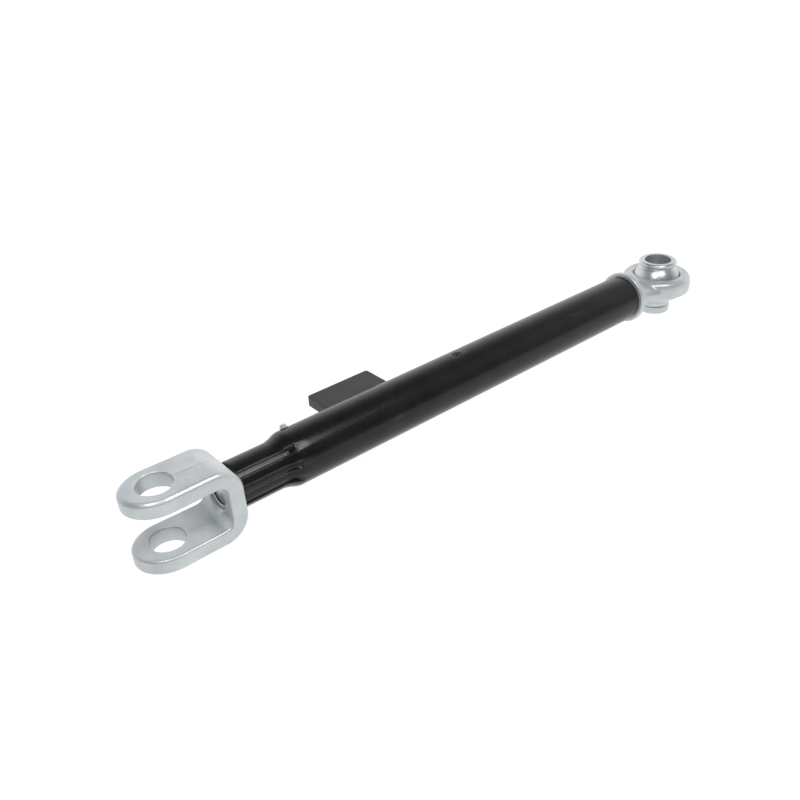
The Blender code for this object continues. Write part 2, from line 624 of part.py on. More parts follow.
# ---------------------------------------------------------------- assembly
def main():
    """Build every piece under the empty of the body that it moves with."""
    clear_scene()
    zinc = material("zinc_plate", (0.60, 0.63, 0.61), 0.38, 0.85)
    paint = material("black_paint", (0.022, 0.022, 0.023), 0.36, 0.0)
    plate_paint = material("matt_black_paint", (0.045, 0.046, 0.048), 0.6, 0.0)
    steel = material("bright_steel", (0.50, 0.50, 0.51), 0.3, 0.95)
    bronze = material("bronze", (0.52, 0.36, 0.18), 0.4, 0.9)
    rubber = material("black_rubber", (0.018, 0.018, 0.018), 0.7, 0.0)
    dark_steel = material("oiled_steel", (0.13, 0.13, 0.14), 0.42, 0.8)

    root = empty("lift_rod", -ORIGIN)
    root["place"] = (0.0, 0.0, 0.0)
    eye_body = joint_empty("eye_body", (EYE_X, 0.0, 0.0), root)
    tube_body = joint_empty("tube_turn_axis", (TUBE_END_X, 0.0, 0.0), eye_body)
    fork_body = joint_empty("fork_extend_axis", (0.0, 0.0, 0.0), eye_body)
    race_body = joint_empty("race_turn_axis", (EYE_X, 0.0, 0.0), eye_body)
    ball_body = joint_empty("ball_tilt_axis", (EYE_X, 0.0, 0.0), race_body)
    check_body = joint_empty("nipple_ball_axis", along_nipple(NIPPLE_BALL_HEIGHT), tube_body)

    add_fork(zinc, fork_body)
    add_spindle(steel, fork_body)
    add_spindle_bead(steel, fork_body)
    ring("spindle_stop_washer", steel, fork_body, STOP_X, PILOT_R + GAP, STOP_R)
    add_circlip(dark_steel, fork_body)

    add_tube(paint, tube_body)
    ring("neck_nut", bronze, tube_body, NECK_NUT_X, SPINDLE_R + 0.4, NECK_BORE_R - GAP)
    ring("neck_wiper", rubber, tube_body, WIPER_X, SPINDLE_R + GAP, NECK_BORE_R - GAP)
    add_turning_plate(plate_paint, tube_body)
    add_plate_weld("plate_weld_upper", 1.0, plate_paint, tube_body)
    add_plate_weld("plate_weld_lower", -1.0, plate_paint, tube_body)
    add_plug(paint, tube_body)
    add_nipple(zinc, tube_body)
    add_nipple_spring(steel, tube_body)
    add_nipple_ball(steel, check_body)
    ring("swivel_bush", bronze, tube_body, BUSH_X, SHANK_R + GAP, TUBE_BORE_R - GAP)
    ring("end_seal", rubber, tube_body, SEAL_X, *SEAL_RADII, 0.4, 40)

    add_eye(zinc, eye_body)
    ring("thrust_washer_outer", bronze, eye_body, THRUST_OUTER_X, SHANK_R + GAP, THRUST_OUTER_R, 0.3)
    ring("thrust_washer_inner", steel, eye_body, THRUST_INNER_X, SHANK_THREAD_R + GAP,
         THRUST_INNER_R, 0.4)
    add_swivel_nut(steel, eye_body)
    add_split_pin(steel, eye_body)
    add_race(dark_steel, race_body)
    add_ball(zinc, ball_body)


main()
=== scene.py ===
"""Tractor lift rod: fine geometry, finishes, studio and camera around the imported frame.

Sizes are millimetres from the fork's pin along the strut; Layout turns them into the row frame.
Each sub-assembly is a class. Its fields are its sizes, and its methods build and dress its pieces.
"""

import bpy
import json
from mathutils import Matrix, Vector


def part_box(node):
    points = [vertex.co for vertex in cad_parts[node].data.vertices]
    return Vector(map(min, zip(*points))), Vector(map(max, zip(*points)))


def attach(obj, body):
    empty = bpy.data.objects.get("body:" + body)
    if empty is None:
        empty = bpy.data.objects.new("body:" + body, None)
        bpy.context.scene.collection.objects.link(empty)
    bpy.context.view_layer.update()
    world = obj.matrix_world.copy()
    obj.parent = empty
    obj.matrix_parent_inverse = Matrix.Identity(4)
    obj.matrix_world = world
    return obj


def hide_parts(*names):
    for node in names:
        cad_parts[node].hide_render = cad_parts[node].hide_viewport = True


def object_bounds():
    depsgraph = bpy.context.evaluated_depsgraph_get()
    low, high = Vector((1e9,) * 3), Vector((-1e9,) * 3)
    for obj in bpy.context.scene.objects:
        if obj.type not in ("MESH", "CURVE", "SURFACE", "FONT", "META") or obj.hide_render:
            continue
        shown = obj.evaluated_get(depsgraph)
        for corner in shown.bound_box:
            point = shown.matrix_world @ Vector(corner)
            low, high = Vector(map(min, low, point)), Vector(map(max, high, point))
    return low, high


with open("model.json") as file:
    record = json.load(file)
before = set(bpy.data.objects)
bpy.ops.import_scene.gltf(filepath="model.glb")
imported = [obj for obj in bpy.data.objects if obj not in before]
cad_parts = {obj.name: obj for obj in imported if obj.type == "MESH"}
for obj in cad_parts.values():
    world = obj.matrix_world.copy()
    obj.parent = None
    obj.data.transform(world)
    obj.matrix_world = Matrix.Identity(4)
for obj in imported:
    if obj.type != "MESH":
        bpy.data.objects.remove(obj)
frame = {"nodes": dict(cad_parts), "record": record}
CAD_BOX = [list(corner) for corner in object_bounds()]

import json
import logging
import math
from dataclasses import dataclass, field
from enum import Enum

import bmesh
import bpy
import numpy as np
from mathutils import Matrix, Vector

MM = 0.001
SHARP_ANGLE = math.radians(32.0)
WELD = 4e-6                    # metres; corners closer than this become one
# mask of sharp edges: edge wear on the paints; edge wear and a painted highlight on the zinc
EDGE_ATTRIBUTE = "edge_wear_and_highlight"
MACHINED_ATTRIBUTE = "machined"
TAU = 2.0 * math.pi
ORIGIN = (0.0, 0.0, 0.0)

log = logging.getLogger("lift_rod")


class Axis(Enum):
    """The axis that a turned piece is turned about."""

    ALONG = "x"
    UPRIGHT = "z"


class Slot(Enum):
    """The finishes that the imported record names."""

    ZINC = "zinc_plate"
    GLOSS_BLACK = "black_paint"
    MATT_BLACK = "matt_black_paint"
    STEEL = "bright_steel"
    BRONZE = "bronze"
    RUBBER = "black_rubber"
    OILED = "oiled_steel"


# ---------------------------------------------------------------- places
@dataclass(frozen=True)
class Layout:
    """Where the strut lies in the row frame, read from the CAD nodes' boxes."""

    fork_x: float
    axis_y: float
    axis_z: float
    eye_x: float

    @classmethod
    def from_frame(cls) -> "Layout":
        """Read the strut's axis and the fork's pin from the tube, and the eye's pin from the ball.
        """
        tube_low, tube_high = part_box("tube")
        ball_low, ball_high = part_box("ball")
        pin = tube_high.x - TubeAssembly.end_x * MM
        eye = (0.5 * (ball_low.x + ball_high.x) - pin) / MM
        return cls(pin, 0.5 * (tube_low.y + tube_high.y), 0.5 * (tube_low.z + tube_high.z), eye)

    def place(self, points: np.ndarray) -> np.ndarray:
        """Millimetres from the fork's pin to metres in the row frame: p * MM + origin."""
        return points * MM + np.array([self.fork_x, self.axis_y, self.axis_z])


# ---------------------------------------------------------------- surfaces
def smoothstep(low: float, high: float, value: np.ndarray) -> np.ndarray:
    """3t^2 - 2t^3, with t the share of the way from low to high, held within 0 and 1."""
    t = np.clip((value - low) / (high - low), 0.0, 1.0)
    return t * t * (3.0 - 2.0 * t)


def rounded(profile: list[tuple[float, float]], radius: float, closed: bool = True,
            steps: int = 4) -> np.ndarray:
    """Round every corner of a profile with a parabola.

    At corner P with neighbours A and B, the curve runs (1-t)^2 a + 2t(1-t) P + t^2 b, where a
    and b lie towards A and B at the radius, or at 0.45 of the side when that is less.

    Args:
        profile: the corners, in order.
        radius: how far from each corner the curve starts.
        closed: whether the last corner joins the first; if not, the two end corners stay.
        steps: how many parts each curve has.

    Returns:
        The points of the rounded profile, one row each.
    """
    corner = np.array(profile, float)
    before, after = np.roll(corner, 1, axis=0), np.roll(corner, -1, axis=0)

    def towards(other: np.ndarray) -> np.ndarray:
        """The point where the curve meets the side that leads to the other corner."""
        side = other - corner
        length = np.maximum(np.linalg.norm(side, axis=1, keepdims=True), 1e-9)
        return corner + side / length * np.minimum(radius, 0.45 * length)

    a, b = towards(before), towards(after)
    t = np.linspace(0.0, 1.0, steps + 1)[None, :, None]
    curve = (1 - t) ** 2 * a[:, None] + 2 * t * (1 - t) * corner[:, None] + t ** 2 * b[:, None]
    if closed:
        return curve.reshape(-1, 2)
    return np.concatenate([corner[:1], curve[1:-1].reshape(-1, 2), corner[-1:]])


def joined(*parts: np.ndarray) -> np.ndarray:
    """Points whose coordinates are the parts, spread over one grid."""
    return np.stack(np.broadcast_arrays(*parts), axis=-1)


def around(segments: int) -> np.ndarray:
    """Evenly spaced angles round a full turn."""
    return np.linspace(0.0, TAU, segments, endpoint=False)


def wheel(height: np.ndarray, radius: np.ndarray, angle: np.ndarray) -> np.ndarray:
    """The points (h, r cos a, r sin a), spread over one grid."""
    return joined(height, radius * np.cos(angle), radius * np.sin(angle))


def turned(profile: np.ndarray, axis: Axis, segments: int,
           centre: tuple[float, float, float] = ORIGIN, tilt: float = 0.0) -> np.ndarray:
    """A surface of revolution: (h, r cos a, r sin a) for each profile point and angle a.

    Args:
        profile: (height, radius) points.
        axis: the axis that it is turned about.
        segments: how many angles there are in a full turn.
        centre: where height zero lies on the axis, in millimetres.
        tilt: turn about X in degrees, from up towards +Y, for an upright piece.

    Returns:
        An array of rows by segments by three.
    """
    points = wheel(profile[:, :1], profile[:, 1:], around(segments))
    if axis is Axis.UPRIGHT:
        points = points[..., [1, 2, 0]]
    lean = math.radians(tilt)
    y = points[..., 1] * math.cos(lean) + points[..., 2] * math.sin(lean)
    z = points[..., 2] * math.cos(lean) - points[..., 1] * math.sin(lean)
    return joined(points[..., 0], y, z) + np.array(centre)


def quads(rows: int, columns: int, wrap_rows: bool, wrap_columns: bool) -> np.ndarray:
    """The four corner numbers of each cell of a grid whose points are numbered row by row."""
    r = np.arange(rows if wrap_rows else rows - 1)
    c = np.arange(columns if wrap_columns else columns - 1)
    row, column = (a.reshape(-1) for a in np.meshgrid(r, c, indexing="ij"))
    next_row, next_column = (row + 1) % rows, (column + 1) % columns
    return joined(row * columns + column, row * columns + next_column,
                  next_row * columns + next_column, next_row * columns + column)


@dataclass
class Shell:
    """Points in millimetres and the faces between them, collected before a mesh is made."""

    points: list[np.ndarray] = field(default_factory=list)
    faces: list[list[int]] = field(default_factory=list)

    def count(self) -> int:
        """How many points there are so far."""
        return sum(len(p) for p in self.points)

    def grid(self, surface: np.ndarray, wrap_rows: bool = False, wrap_columns: bool = True,
             keep: np.ndarray | None = None) -> "Shell":
        """Add a grid surface.

        Args:
            surface: rows by columns by three.
            wrap_rows: whether the last row joins the first.
            wrap_columns: whether the last column joins the first.
            keep: for each cell, whether it is kept; all are if this is None.

        Returns:
            The same shell.
        """
        cells = quads(surface.shape[0], surface.shape[1], wrap_rows, wrap_columns)
        if keep is not None:
            cells = cells[keep.reshape(-1)]
        self.faces += (cells + self.count()).tolist()
        self.points.append(surface.reshape(-1, 3))
        return self

    def capped(self, surface: np.ndarray) -> "Shell":
        """Add a grid surface and close its first and last rows with a flat face each."""
        start, rows, columns = self.count(), surface.shape[0], surface.shape[1]
        self.grid(surface)
        first = list(range(start, start + columns))
        self.faces += [first[::-1], [i + (rows - 1) * columns for i in first]]
        return self

    def mesh(self, name: str, layout: Layout) -> bpy.types.Mesh:
        """Weld the points, turn the faces outwards and mark the sharp edges.

        Args:
            name: the mesh's name.
            layout: turns millimetres into the row frame.

        Returns:
            A smooth shaded mesh in metres.
        """
        made = bpy.data.meshes.new(name)
        made.from_pydata(layout.place(np.concatenate(self.points)).tolist(), [], self.faces)
        bm = bmesh.new()
        bm.from_mesh(made)
        bmesh.ops.remove_doubles(bm, verts=bm.verts, dist=WELD)
        bmesh.ops.recalc_face_normals(bm, faces=bm.faces)
        bm.to_mesh(made)
        bm.free()
        return smooth(made)


def smooth(mesh: bpy.types.Mesh) -> bpy.types.Mesh:
    """Shade a mesh smooth, except across edges that turn more than SHARP_ANGLE."""
    mesh.shade_smooth()
    mesh.set_sharp_from_angle(angle=SHARP_ANGLE)
    return mesh


def mark_edges(mesh: bpy.types.Mesh) -> None:
    """Store how sharply the surface turns at each corner, from 0 to 1, as EDGE_ATTRIBUTE.

    It is one minus the length of the mean of the unit normals of the faces that meet there,
    scaled so that a turn of about 40 degrees gives 1.

    Args:
        mesh: the mesh that gets the attribute.
    """
    loops = len(mesh.loops)
    corner = np.zeros(loops, np.int64)
    mesh.loops.foreach_get("vertex_index", corner)
    normal = np.zeros(len(mesh.polygons) * 3)
    mesh.polygons.foreach_get("normal", normal)
    sides = np.zeros(len(mesh.polygons), np.int64)
    mesh.polygons.foreach_get("loop_total", sides)
    each = np.repeat(normal.reshape(-1, 3), sides, axis=0)
    total = np.zeros((len(mesh.vertices), 3))
    np.add.at(total, corner, each)
    meet = np.maximum(np.bincount(corner, minlength=len(mesh.vertices)), 1)
    bend = 1.0 - np.linalg.norm(total, axis=1) / meet
    made = mesh.attributes.new(EDGE_ATTRIBUTE, "FLOAT", "POINT")
    made.data.foreach_set("value", np.clip(bend / 0.03, 0.0, 1.0).astype(np.float32))


def mark_machined(mesh: bpy.types.Mesh) -> None:
    """Store 1 at every corner as MACHINED_ATTRIBUTE, for a turned piece that is plated bright."""
    made = mesh.attributes.new(MACHINED_ATTRIBUTE, "FLOAT", "POINT")
    made.data.foreach_set("value", np.ones(len(mesh.vertices), np.float32))


def add_object(mesh: bpy.types.Mesh) -> bpy.types.Object:
    """Put a mesh in the scene as an object of the same name, at the origin."""
    made = bpy.data.objects.new(mesh.name, mesh)
    bpy.context.scene.collection.objects.link(made)
    return made


def settle(obj: bpy.types.Object) -> bpy.types.Object:
    """Make an object's modifiers permanent.

    Args:
        obj: the object, which keeps its name.

    Returns:
        The same object with a plain mesh and no modifiers.
    """
    graph = bpy.context.evaluated_depsgraph_get()
    final = bpy.data.meshes.new_from_object(obj.evaluated_get(graph), depsgraph=graph)
    obj.modifiers.clear()
    old, obj.data = obj.data, final
    bpy.data.meshes.remove(old)
    final.name = obj.name
    return obj


def combine(obj: bpy.types.Object, tool: bpy.types.Object, operation: str) -> bpy.types.Object:
    """Join a tool to an object, or cut the object with it, and remove the tool.

    Args:
        obj: the object that changes.
        tool: the closed mesh that is joined or cut away.
        operation: UNION or DIFFERENCE.

    Returns:
        The same object.
    """
    change = obj.modifiers.new("combine", "BOOLEAN")
    change.operation = operation
    change.solver = "EXACT"
    change.object = tool
    settle(obj)
    bpy.data.meshes.remove(tool.data)
    bm = bmesh.new()
    bm.from_mesh(obj.data)
    bmesh.ops.remove_doubles(bm, verts=bm.verts, dist=WELD)
    bm.to_mesh(obj.data)
    bm.free()
    smooth(obj.data)
    return obj


# ---------------------------------------------------------------- shader groups
@dataclass
class Nodes:
    """A short way to add nodes and join them."""

    tree: bpy.types.NodeTree

    def add(self, kind: str, settings: dict[str, object] | None = None,
            **values: object) -> bpy.types.Node:
        """Add a node.

        Args:
            kind: the node's type name without its ShaderNode prefix.
            settings: values for the node's own properties.
            **values: a number, a tuple or a socket for each input, named with underscores.

        Returns:
            The node.
        """
        node = self.tree.nodes.new("ShaderNode" + kind)
        for name, value in (settings or {}).items():
            setattr(node, name, value)
        for name, value in values.items():
            self.put(node, name.replace("_", " "), value)
        return node

    def put(self, node: bpy.types.Node, name: str, value: object) -> None:
        """Set one input by name or number, or join a socket to it."""
        socket = node.inputs[int(name)] if name.isdigit() else node.inputs[name]
        if isinstance(value, bpy.types.NodeSocket):
            self.tree.links.new(value, socket)
        else:
            socket.default_value = value

    def calculate(self, operation: str, first: object, second: object) -> bpy.types.NodeSocket:
        """One sum on two values, held within 0 and 1."""
        node = self.add("Math", {"operation": operation, "use_clamp": True})
        self.put(node, "0", first)
        self.put(node, "1", second)
        return node.outputs[0]

    def blend(self, share: object, low: object,
              high: tuple[float, float, float]) -> bpy.types.NodeSocket:
        """Mix from one colour, or from a colour socket, to another by a mask."""
        node = self.add("Mix", {"data_type": "RGBA"})
        self.put(node, "0", share)
        self.put(node, "6", (*low, 1.0) if isinstance(low, tuple) else low)
        self.put(node, "7", (*high, 1.0))
        return node.outputs[2]

    def over(self, colour: bpy.types.NodeSocket, mask: bpy.types.NodeSocket, share: float,
             top: tuple[float, float, float]) -> bpy.types.NodeSocket:
        """Mix a colour towards another by a share of a mask."""
        return self.blend(self.calculate("MULTIPLY", mask, share), colour, top)

    def noise(self, place: bpy.types.NodeSocket, scale: bpy.types.NodeSocket, detail: float,
              roughness: float) -> bpy.types.NodeSocket:
        """Smooth noise from 0 to 1."""
        return self.add("TexNoise", None, Vector=place, Scale=scale, Detail=detail,
                        Roughness=roughness).outputs[0]

    def group(self, tree: bpy.types.NodeTree, **values: object) -> bpy.types.NodeSocket:
        """Place a shared group and return its output."""
        return self.add("Group", {"node_tree": tree}, **values).outputs[0]

    def wear(self, name: str) -> bpy.types.NodeSocket:
        """Read a mask that is stored on the mesh; it is 0 where the mesh has none."""
        return self.add("Attribute", {"attribute_name": name}).outputs["Fac"]

    def spread(self, value: object, low: float, high: float) -> bpy.types.NodeSocket:
        """Stretch a value from 0..1 to low..high."""
        return self.add("MapRange", None, Value=value, To_Min=low, To_Max=high).outputs[0]


def new_group(name: str, inputs: dict[str, float | None],
              output: str) -> tuple[Nodes, dict[str, bpy.types.NodeSocket]]:
    """Start a shader node group.

    Args:
        name: the group's name.
        inputs: each input's name and value; one whose value is None is a vector.
        output: the name of its one output.

    Returns:
        The group's nodes, and its input sockets by name.
    """
    tree = bpy.data.node_groups.new(name, "ShaderNodeTree")
    for title, value in inputs.items():
        kind = "NodeSocketVector" if value is None else "NodeSocketFloat"
        socket = tree.interface.new_socket(title, in_out="INPUT", socket_type=kind)
        if value is not None:
            socket.default_value = value
    tree.interface.new_socket(output, in_out="OUTPUT", socket_type="NodeSocketFloat")
    nodes = Nodes(tree)
    entry = tree.nodes.new("NodeGroupInput")
    return nodes, {s.name: s for s in entry.outputs if s.name}


def end_group(nodes: Nodes, value: bpy.types.NodeSocket) -> bpy.types.NodeTree:
    """Join the group's one output and return its tree."""
    nodes.tree.links.new(value, nodes.tree.nodes.new("NodeGroupOutput").inputs[0])
    return nodes.tree


@dataclass(frozen=True)
class Effects:
    """The shader groups that several finishes share."""

    mottle: bpy.types.NodeTree
    relief: bpy.types.NodeTree
    scuffs: bpy.types.NodeTree
    lathe_lines: bpy.types.NodeTree

    @classmethod
    def build(cls) -> "Effects":
        """Make each group once."""
        return cls(cls._mottle(), cls._relief(), cls._scuffs(), cls._lathe_lines())

    @staticmethod
    def _mottle() -> bpy.types.NodeTree:
        """Soft patches: noise stretched so that Low becomes 0 and High becomes 1."""
        nodes, given = new_group(
            "soft_patches", {"Place": None, "Scale": 40.0, "Low": 0.35, "High": 0.65}, "Mask")
        noise = nodes.noise(given["Place"], given["Scale"], 4.0, 0.6)
        mask = nodes.add("MapRange", None, Value=noise, From_Min=given["Low"],
                         From_Max=given["High"])
        return end_group(nodes, mask.outputs[0])

    @staticmethod
    def _relief() -> bpy.types.NodeTree:
        """Fine grain over broad lumps: height = lumps * Lumps + grain * (1 - Lumps)."""
        nodes, given = new_group(
            "grain_and_lumps",
            {"Place": None, "Grain Scale": 900.0, "Lump Scale": 160.0, "Lumps": 0.5}, "Height")
        grain = nodes.noise(given["Place"], given["Grain Scale"], 3.0, 0.55)
        lumps = nodes.noise(given["Place"], given["Lump Scale"], 2.0, 0.5)
        mixed = nodes.add("Mix", {"data_type": "FLOAT"})
        for name, value in (("0", given["Lumps"]), ("2", grain), ("3", lumps)):
            nodes.put(mixed, name, value)
        return end_group(nodes, mixed.outputs[0])

    @staticmethod
    def _scuffs() -> bpy.types.NodeTree:
        """Sparse thin rubs: noise stretched along the strut, kept only where it is highest."""
        nodes, given = new_group(
            "thin_rubs", {"Place": None, "Scale": 260.0, "Level": 0.66}, "Mask")
        squeezed = nodes.add("Mapping", None, Vector=given["Place"], Scale=(0.10, 1.0, 0.8),
                             Rotation=(0.3, 0.15, 0.1))
        noise = nodes.noise(squeezed.outputs[0], given["Scale"], 2.0, 0.7)
        high = nodes.calculate("ADD", given["Level"], 0.10)
        mask = nodes.add("MapRange", None, Value=noise, From_Min=given["Level"], From_Max=high)
        return end_group(nodes, mask.outputs[0])

    @staticmethod
    def _lathe_lines() -> bpy.types.NodeTree:
        """Rings left by turning: noise squeezed to fine bands along the strut."""
        nodes, given = new_group("turning_rings", {"Place": None, "Scale": 1800.0}, "Height")
        squeezed = nodes.add("Mapping", None, Vector=given["Place"], Scale=(1.0, 0.02, 0.02))
        return end_group(nodes, nodes.noise(squeezed.outputs[0], given["Scale"], 2.0, 0.5))


# ---------------------------------------------------------------- finishes
@dataclass(frozen=True)
class Finish:
    """What every finish has: its slot, two colours, two roughnesses and its metal share."""

    slot: Slot
    dark: tuple[float, float, float]
    light: tuple[float, float, float]
    smoothest: float
    roughest: float
    metallic: float
    patch_scale: float = 45.0
    bump: float = 0.3
    bump_depth: float = 0.0001
    specular: float = 0.5

    def title(self) -> str:
        """The material's own name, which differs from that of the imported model's."""
        return "detailed_" + self.slot.value

    def start(self, effects: Effects) -> tuple[Nodes, bpy.types.Node, bpy.types.NodeSocket,
                                               bpy.types.NodeSocket]:
        """Make the material with its shader and its soft patches.

        Args:
            effects: the shared groups.

        Returns:
            The nodes, the shader, the place on the object and the mask of soft patches.
        """
        mat = bpy.data.materials.new(self.title())
        mat.use_nodes = True
        nodes = Nodes(mat.node_tree)
        shader = mat.node_tree.nodes["Principled BSDF"]
        shader.inputs["Metallic"].default_value = self.metallic
        shader.inputs["Specular IOR Level"].default_value = self.specular
        mat.diffuse_color = (*self.light, 1.0)
        place = nodes.add("TexCoord").outputs["Object"]
        patches = nodes.group(effects.mottle, Place=place, Scale=self.patch_scale)
        return nodes, shader, place, patches

    def close(self, nodes: Nodes, shader: bpy.types.Node, colour: bpy.types.NodeSocket,
              rough: bpy.types.NodeSocket, height: bpy.types.NodeSocket) -> bpy.types.Material:
        """Join colour, roughness and relief to the shader.

        Args:
            nodes: the material's nodes.
            shader: its Principled shader.
            colour: what feeds Base Color.
            rough: a mask from 0 to 1, stretched between the two roughnesses.
            height: what feeds the bump.

        Returns:
            The material.
        """
        nodes.put(shader, "Base Color", colour)
        nodes.put(shader, "Roughness", nodes.spread(rough, self.smoothest, self.roughest))
        relief = nodes.add("Bump", None, Strength=self.bump, Distance=self.bump_depth,
                           Height=height)
        nodes.put(shader, "Normal", relief.outputs[0])
        return bpy.data.materials[self.title()]


@dataclass(frozen=True)
class ZincPlate(Finish):
    """Satin zinc over a forging: crystal bloom, a faint blue and straw cast, small pits."""

    cast: tuple[float, float, float] = (0.46, 0.53, 0.57)
    pit: tuple[float, float, float] = (0.25, 0.26, 0.28)
    lumps: float = 0.55
    # pale colour for sharp edges: partly edge wear, partly a painted highlight on the bevels
    worn_and_highlighted_edge: tuple[float, float, float] = (0.78, 0.80, 0.82)
    machined_metallic: float = 0.82

    def material(self, effects: Effects) -> bpy.types.Material:
        """Build the material from the shared groups."""
        nodes, shader, place, patches = self.start(effects)
        colour = nodes.blend(patches, self.dark, self.light)
        cast = nodes.group(effects.mottle, Place=place, Scale=26.0, Low=0.48, High=0.72)
        colour = nodes.over(colour, cast, 0.55, self.cast)
        bloom = nodes.group(effects.mottle, Place=place, Scale=700.0, Low=0.30, High=0.72)
        pits = nodes.group(effects.scuffs, Place=place, Scale=340.0, Level=0.70)
        colour = nodes.over(colour, pits, 0.45, self.pit)
        # Sharp edges are mixed towards a pale colour: partly real edge wear, partly a painted
        # highlight in place of light on the bevels; the same mask also makes them smoother.
        wear = nodes.wear(EDGE_ATTRIBUTE)
        colour = nodes.over(colour, wear, 0.5, self.worn_and_highlighted_edge)
        height = nodes.group(effects.relief, Place=place, Grain_Scale=1100.0,
                            Lump_Scale=210.0, Lumps=self.lumps)
        machined = nodes.wear(MACHINED_ATTRIBUTE)
        nodes.put(shader, "Metallic",
                  nodes.spread(machined, self.metallic, self.machined_metallic))
        smoother = nodes.calculate("ADD", nodes.calculate("MULTIPLY", wear, 0.4),
                                   nodes.calculate("MULTIPLY", machined, 0.3))
        rough = nodes.calculate("SUBTRACT", bloom, smoother)
        return self.close(nodes, shader, colour, rough, height)


@dataclass(frozen=True)
class BlackPaint(Finish):
    """Black enamel: orange peel, a little dust, thin rubs and greyer broken edges."""

    edge: tuple[float, float, float] = (0.075, 0.076, 0.078)
    edge_share: float = 0.5
    rub_share: float = 0.25
    peel_scale: float = 520.0

    def material(self, effects: Effects) -> bpy.types.Material:
        """Build the material from the shared groups."""
        nodes, shader, place, patches = self.start(effects)
        colour = nodes.blend(patches, self.dark, self.light)
        rubs = nodes.group(effects.scuffs, Place=place, Scale=190.0, Level=0.64)
        wear = nodes.wear(EDGE_ATTRIBUTE)
        worn = nodes.calculate("ADD", nodes.calculate("MULTIPLY", rubs, self.rub_share),
                               nodes.calculate("MULTIPLY", wear, self.edge_share))
        colour = nodes.blend(worn, colour, self.edge)
        dust = nodes.group(effects.mottle, Place=place, Scale=420.0, Low=0.35, High=0.75)
        rough = nodes.calculate("ADD", nodes.calculate("MULTIPLY", dust, 0.7),
                                nodes.calculate("MULTIPLY", rubs, 0.3))
        height = nodes.group(effects.relief, Place=place, Grain_Scale=1400.0,
                            Lump_Scale=self.peel_scale, Lumps=0.7)
        return self.close(nodes, shader, colour, rough, height)


@dataclass(frozen=True)
class TurnedMetal(Finish):
    """Machined steel or bronze: fine turning rings, and stains where oil has dried."""

    stain: tuple[float, float, float] = (0.20, 0.19, 0.17)
    stain_share: float = 0.35

    def material(self, effects: Effects) -> bpy.types.Material:
        """Build the material from the shared groups."""
        nodes, shader, place, patches = self.start(effects)
        rings = nodes.group(effects.lathe_lines, Place=place, Scale=1500.0)
        colour = nodes.blend(rings, self.dark, self.light)
        colour = nodes.over(colour, patches, self.stain_share, self.stain)
        rubs = nodes.group(effects.scuffs, Place=place, Scale=300.0, Level=0.66)
        rough = nodes.calculate("ADD", patches, nodes.calculate("MULTIPLY", rubs, 0.5))
        return self.close(nodes, shader, colour, rough, rings)


@dataclass(frozen=True)
class MouldedRubber(Finish):
    """Black rubber: a dull grain with a pale bloom."""

    def material(self, effects: Effects) -> bpy.types.Material:
        """Build the material from the shared groups."""
        nodes, shader, place, patches = self.start(effects)
        colour = nodes.blend(patches, self.dark, self.light)
        height = nodes.group(effects.relief, Place=place, Grain_Scale=2200.0,
                            Lump_Scale=500.0, Lumps=0.3)
        return self.close(nodes, shader, colour, patches, height)


FINISHES = (
    ZincPlate(Slot.ZINC, (0.50, 0.528, 0.542), (0.60, 0.630, 0.646), 0.30, 0.48, 0.45,
              bump=0.35, bump_depth=0.00022),
    BlackPaint(Slot.GLOSS_BLACK, (0.0065, 0.0062, 0.0060), (0.0115, 0.0110, 0.0105), 0.20, 0.33,
               0.0, bump=0.22, bump_depth=0.00010, specular=0.27),
    BlackPaint(Slot.MATT_BLACK, (0.019, 0.018, 0.0175), (0.034, 0.032, 0.031), 0.48, 0.66, 0.0,
               bump=0.35, bump_depth=0.00012, edge=(0.075, 0.075, 0.075), edge_share=0.7),
    TurnedMetal(Slot.STEEL, (0.44, 0.44, 0.45), (0.62, 0.62, 0.63), 0.20, 0.42, 0.95,
                bump=0.25, bump_depth=0.00005),
    TurnedMetal(Slot.BRONZE, (0.46, 0.30, 0.14), (0.62, 0.43, 0.22), 0.28, 0.46, 0.92,
                bump=0.25, bump_depth=0.00005, stain=(0.22, 0.13, 0.06)),
    MouldedRubber(Slot.RUBBER, (0.010, 0.010, 0.010), (0.026, 0.026, 0.027), 0.55, 0.80, 0.0,
                  bump=0.3, bump_depth=0.00008),
    TurnedMetal(Slot.OILED, (0.10, 0.10, 0.105), (0.18, 0.18, 0.185), 0.26, 0.48, 0.85,
                bump=0.25, bump_depth=0.00005, stain=(0.05, 0.045, 0.04)),
)


@dataclass
class Workshop:
    """What every sub-assembly needs to make a piece: the places and the materials."""

    layout: Layout
    materials: dict[Slot, bpy.types.Material]
    replaced: set[str] = field(default_factory=set)

    def fit(self, obj: bpy.types.Object, body: str, slot: Slot, *nodes: str) -> None:
        """Dress a finished piece, hang it on its body and name the nodes it stands for.

        Args:
            obj: the piece, with its place in its mesh.
            body: the CAD body that it moves with.
            slot: its finish.
            *nodes: the CAD nodes that it replaces.
        """
        mark_edges(obj.data)
        obj.data.materials.clear()
        obj.data.materials.append(self.materials[slot])
        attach(obj, body)
        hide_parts(*nodes)
        self.replaced.update(nodes)
        log.info("%s: %d corners, rides on %s", obj.name, len(obj.data.vertices), body)

    def make(self, shell: Shell, name: str, body: str, slot: Slot, node: str) -> None:
        """Make a shell's object and fit it; the arguments are those of fit()."""
        self.fit(add_object(shell.mesh(name, self.layout)), body, slot, node)

    def turn(self, name: str, profile: np.ndarray, axis: Axis = Axis.ALONG, segments: int = 96,
             centre: tuple[float, float, float] = ORIGIN, tilt: float = 0.0,
             ring: bool = True) -> bpy.types.Object:
        """Add a turned piece from its (height, radius) profile.

        Args:
            name: the piece's name.
            profile: the profile's points.
            axis: the axis that it is turned about.
            segments: how many sides a full turn has.
            centre: where height zero lies.
            tilt: see turned().
            ring: whether the profile is a closed loop; if not, it starts and ends on the axis.

        Returns:
            The new object.
        """
        shell = Shell().grid(turned(profile, axis, segments, centre, tilt), wrap_rows=ring)
        return add_object(shell.mesh(name, self.layout))


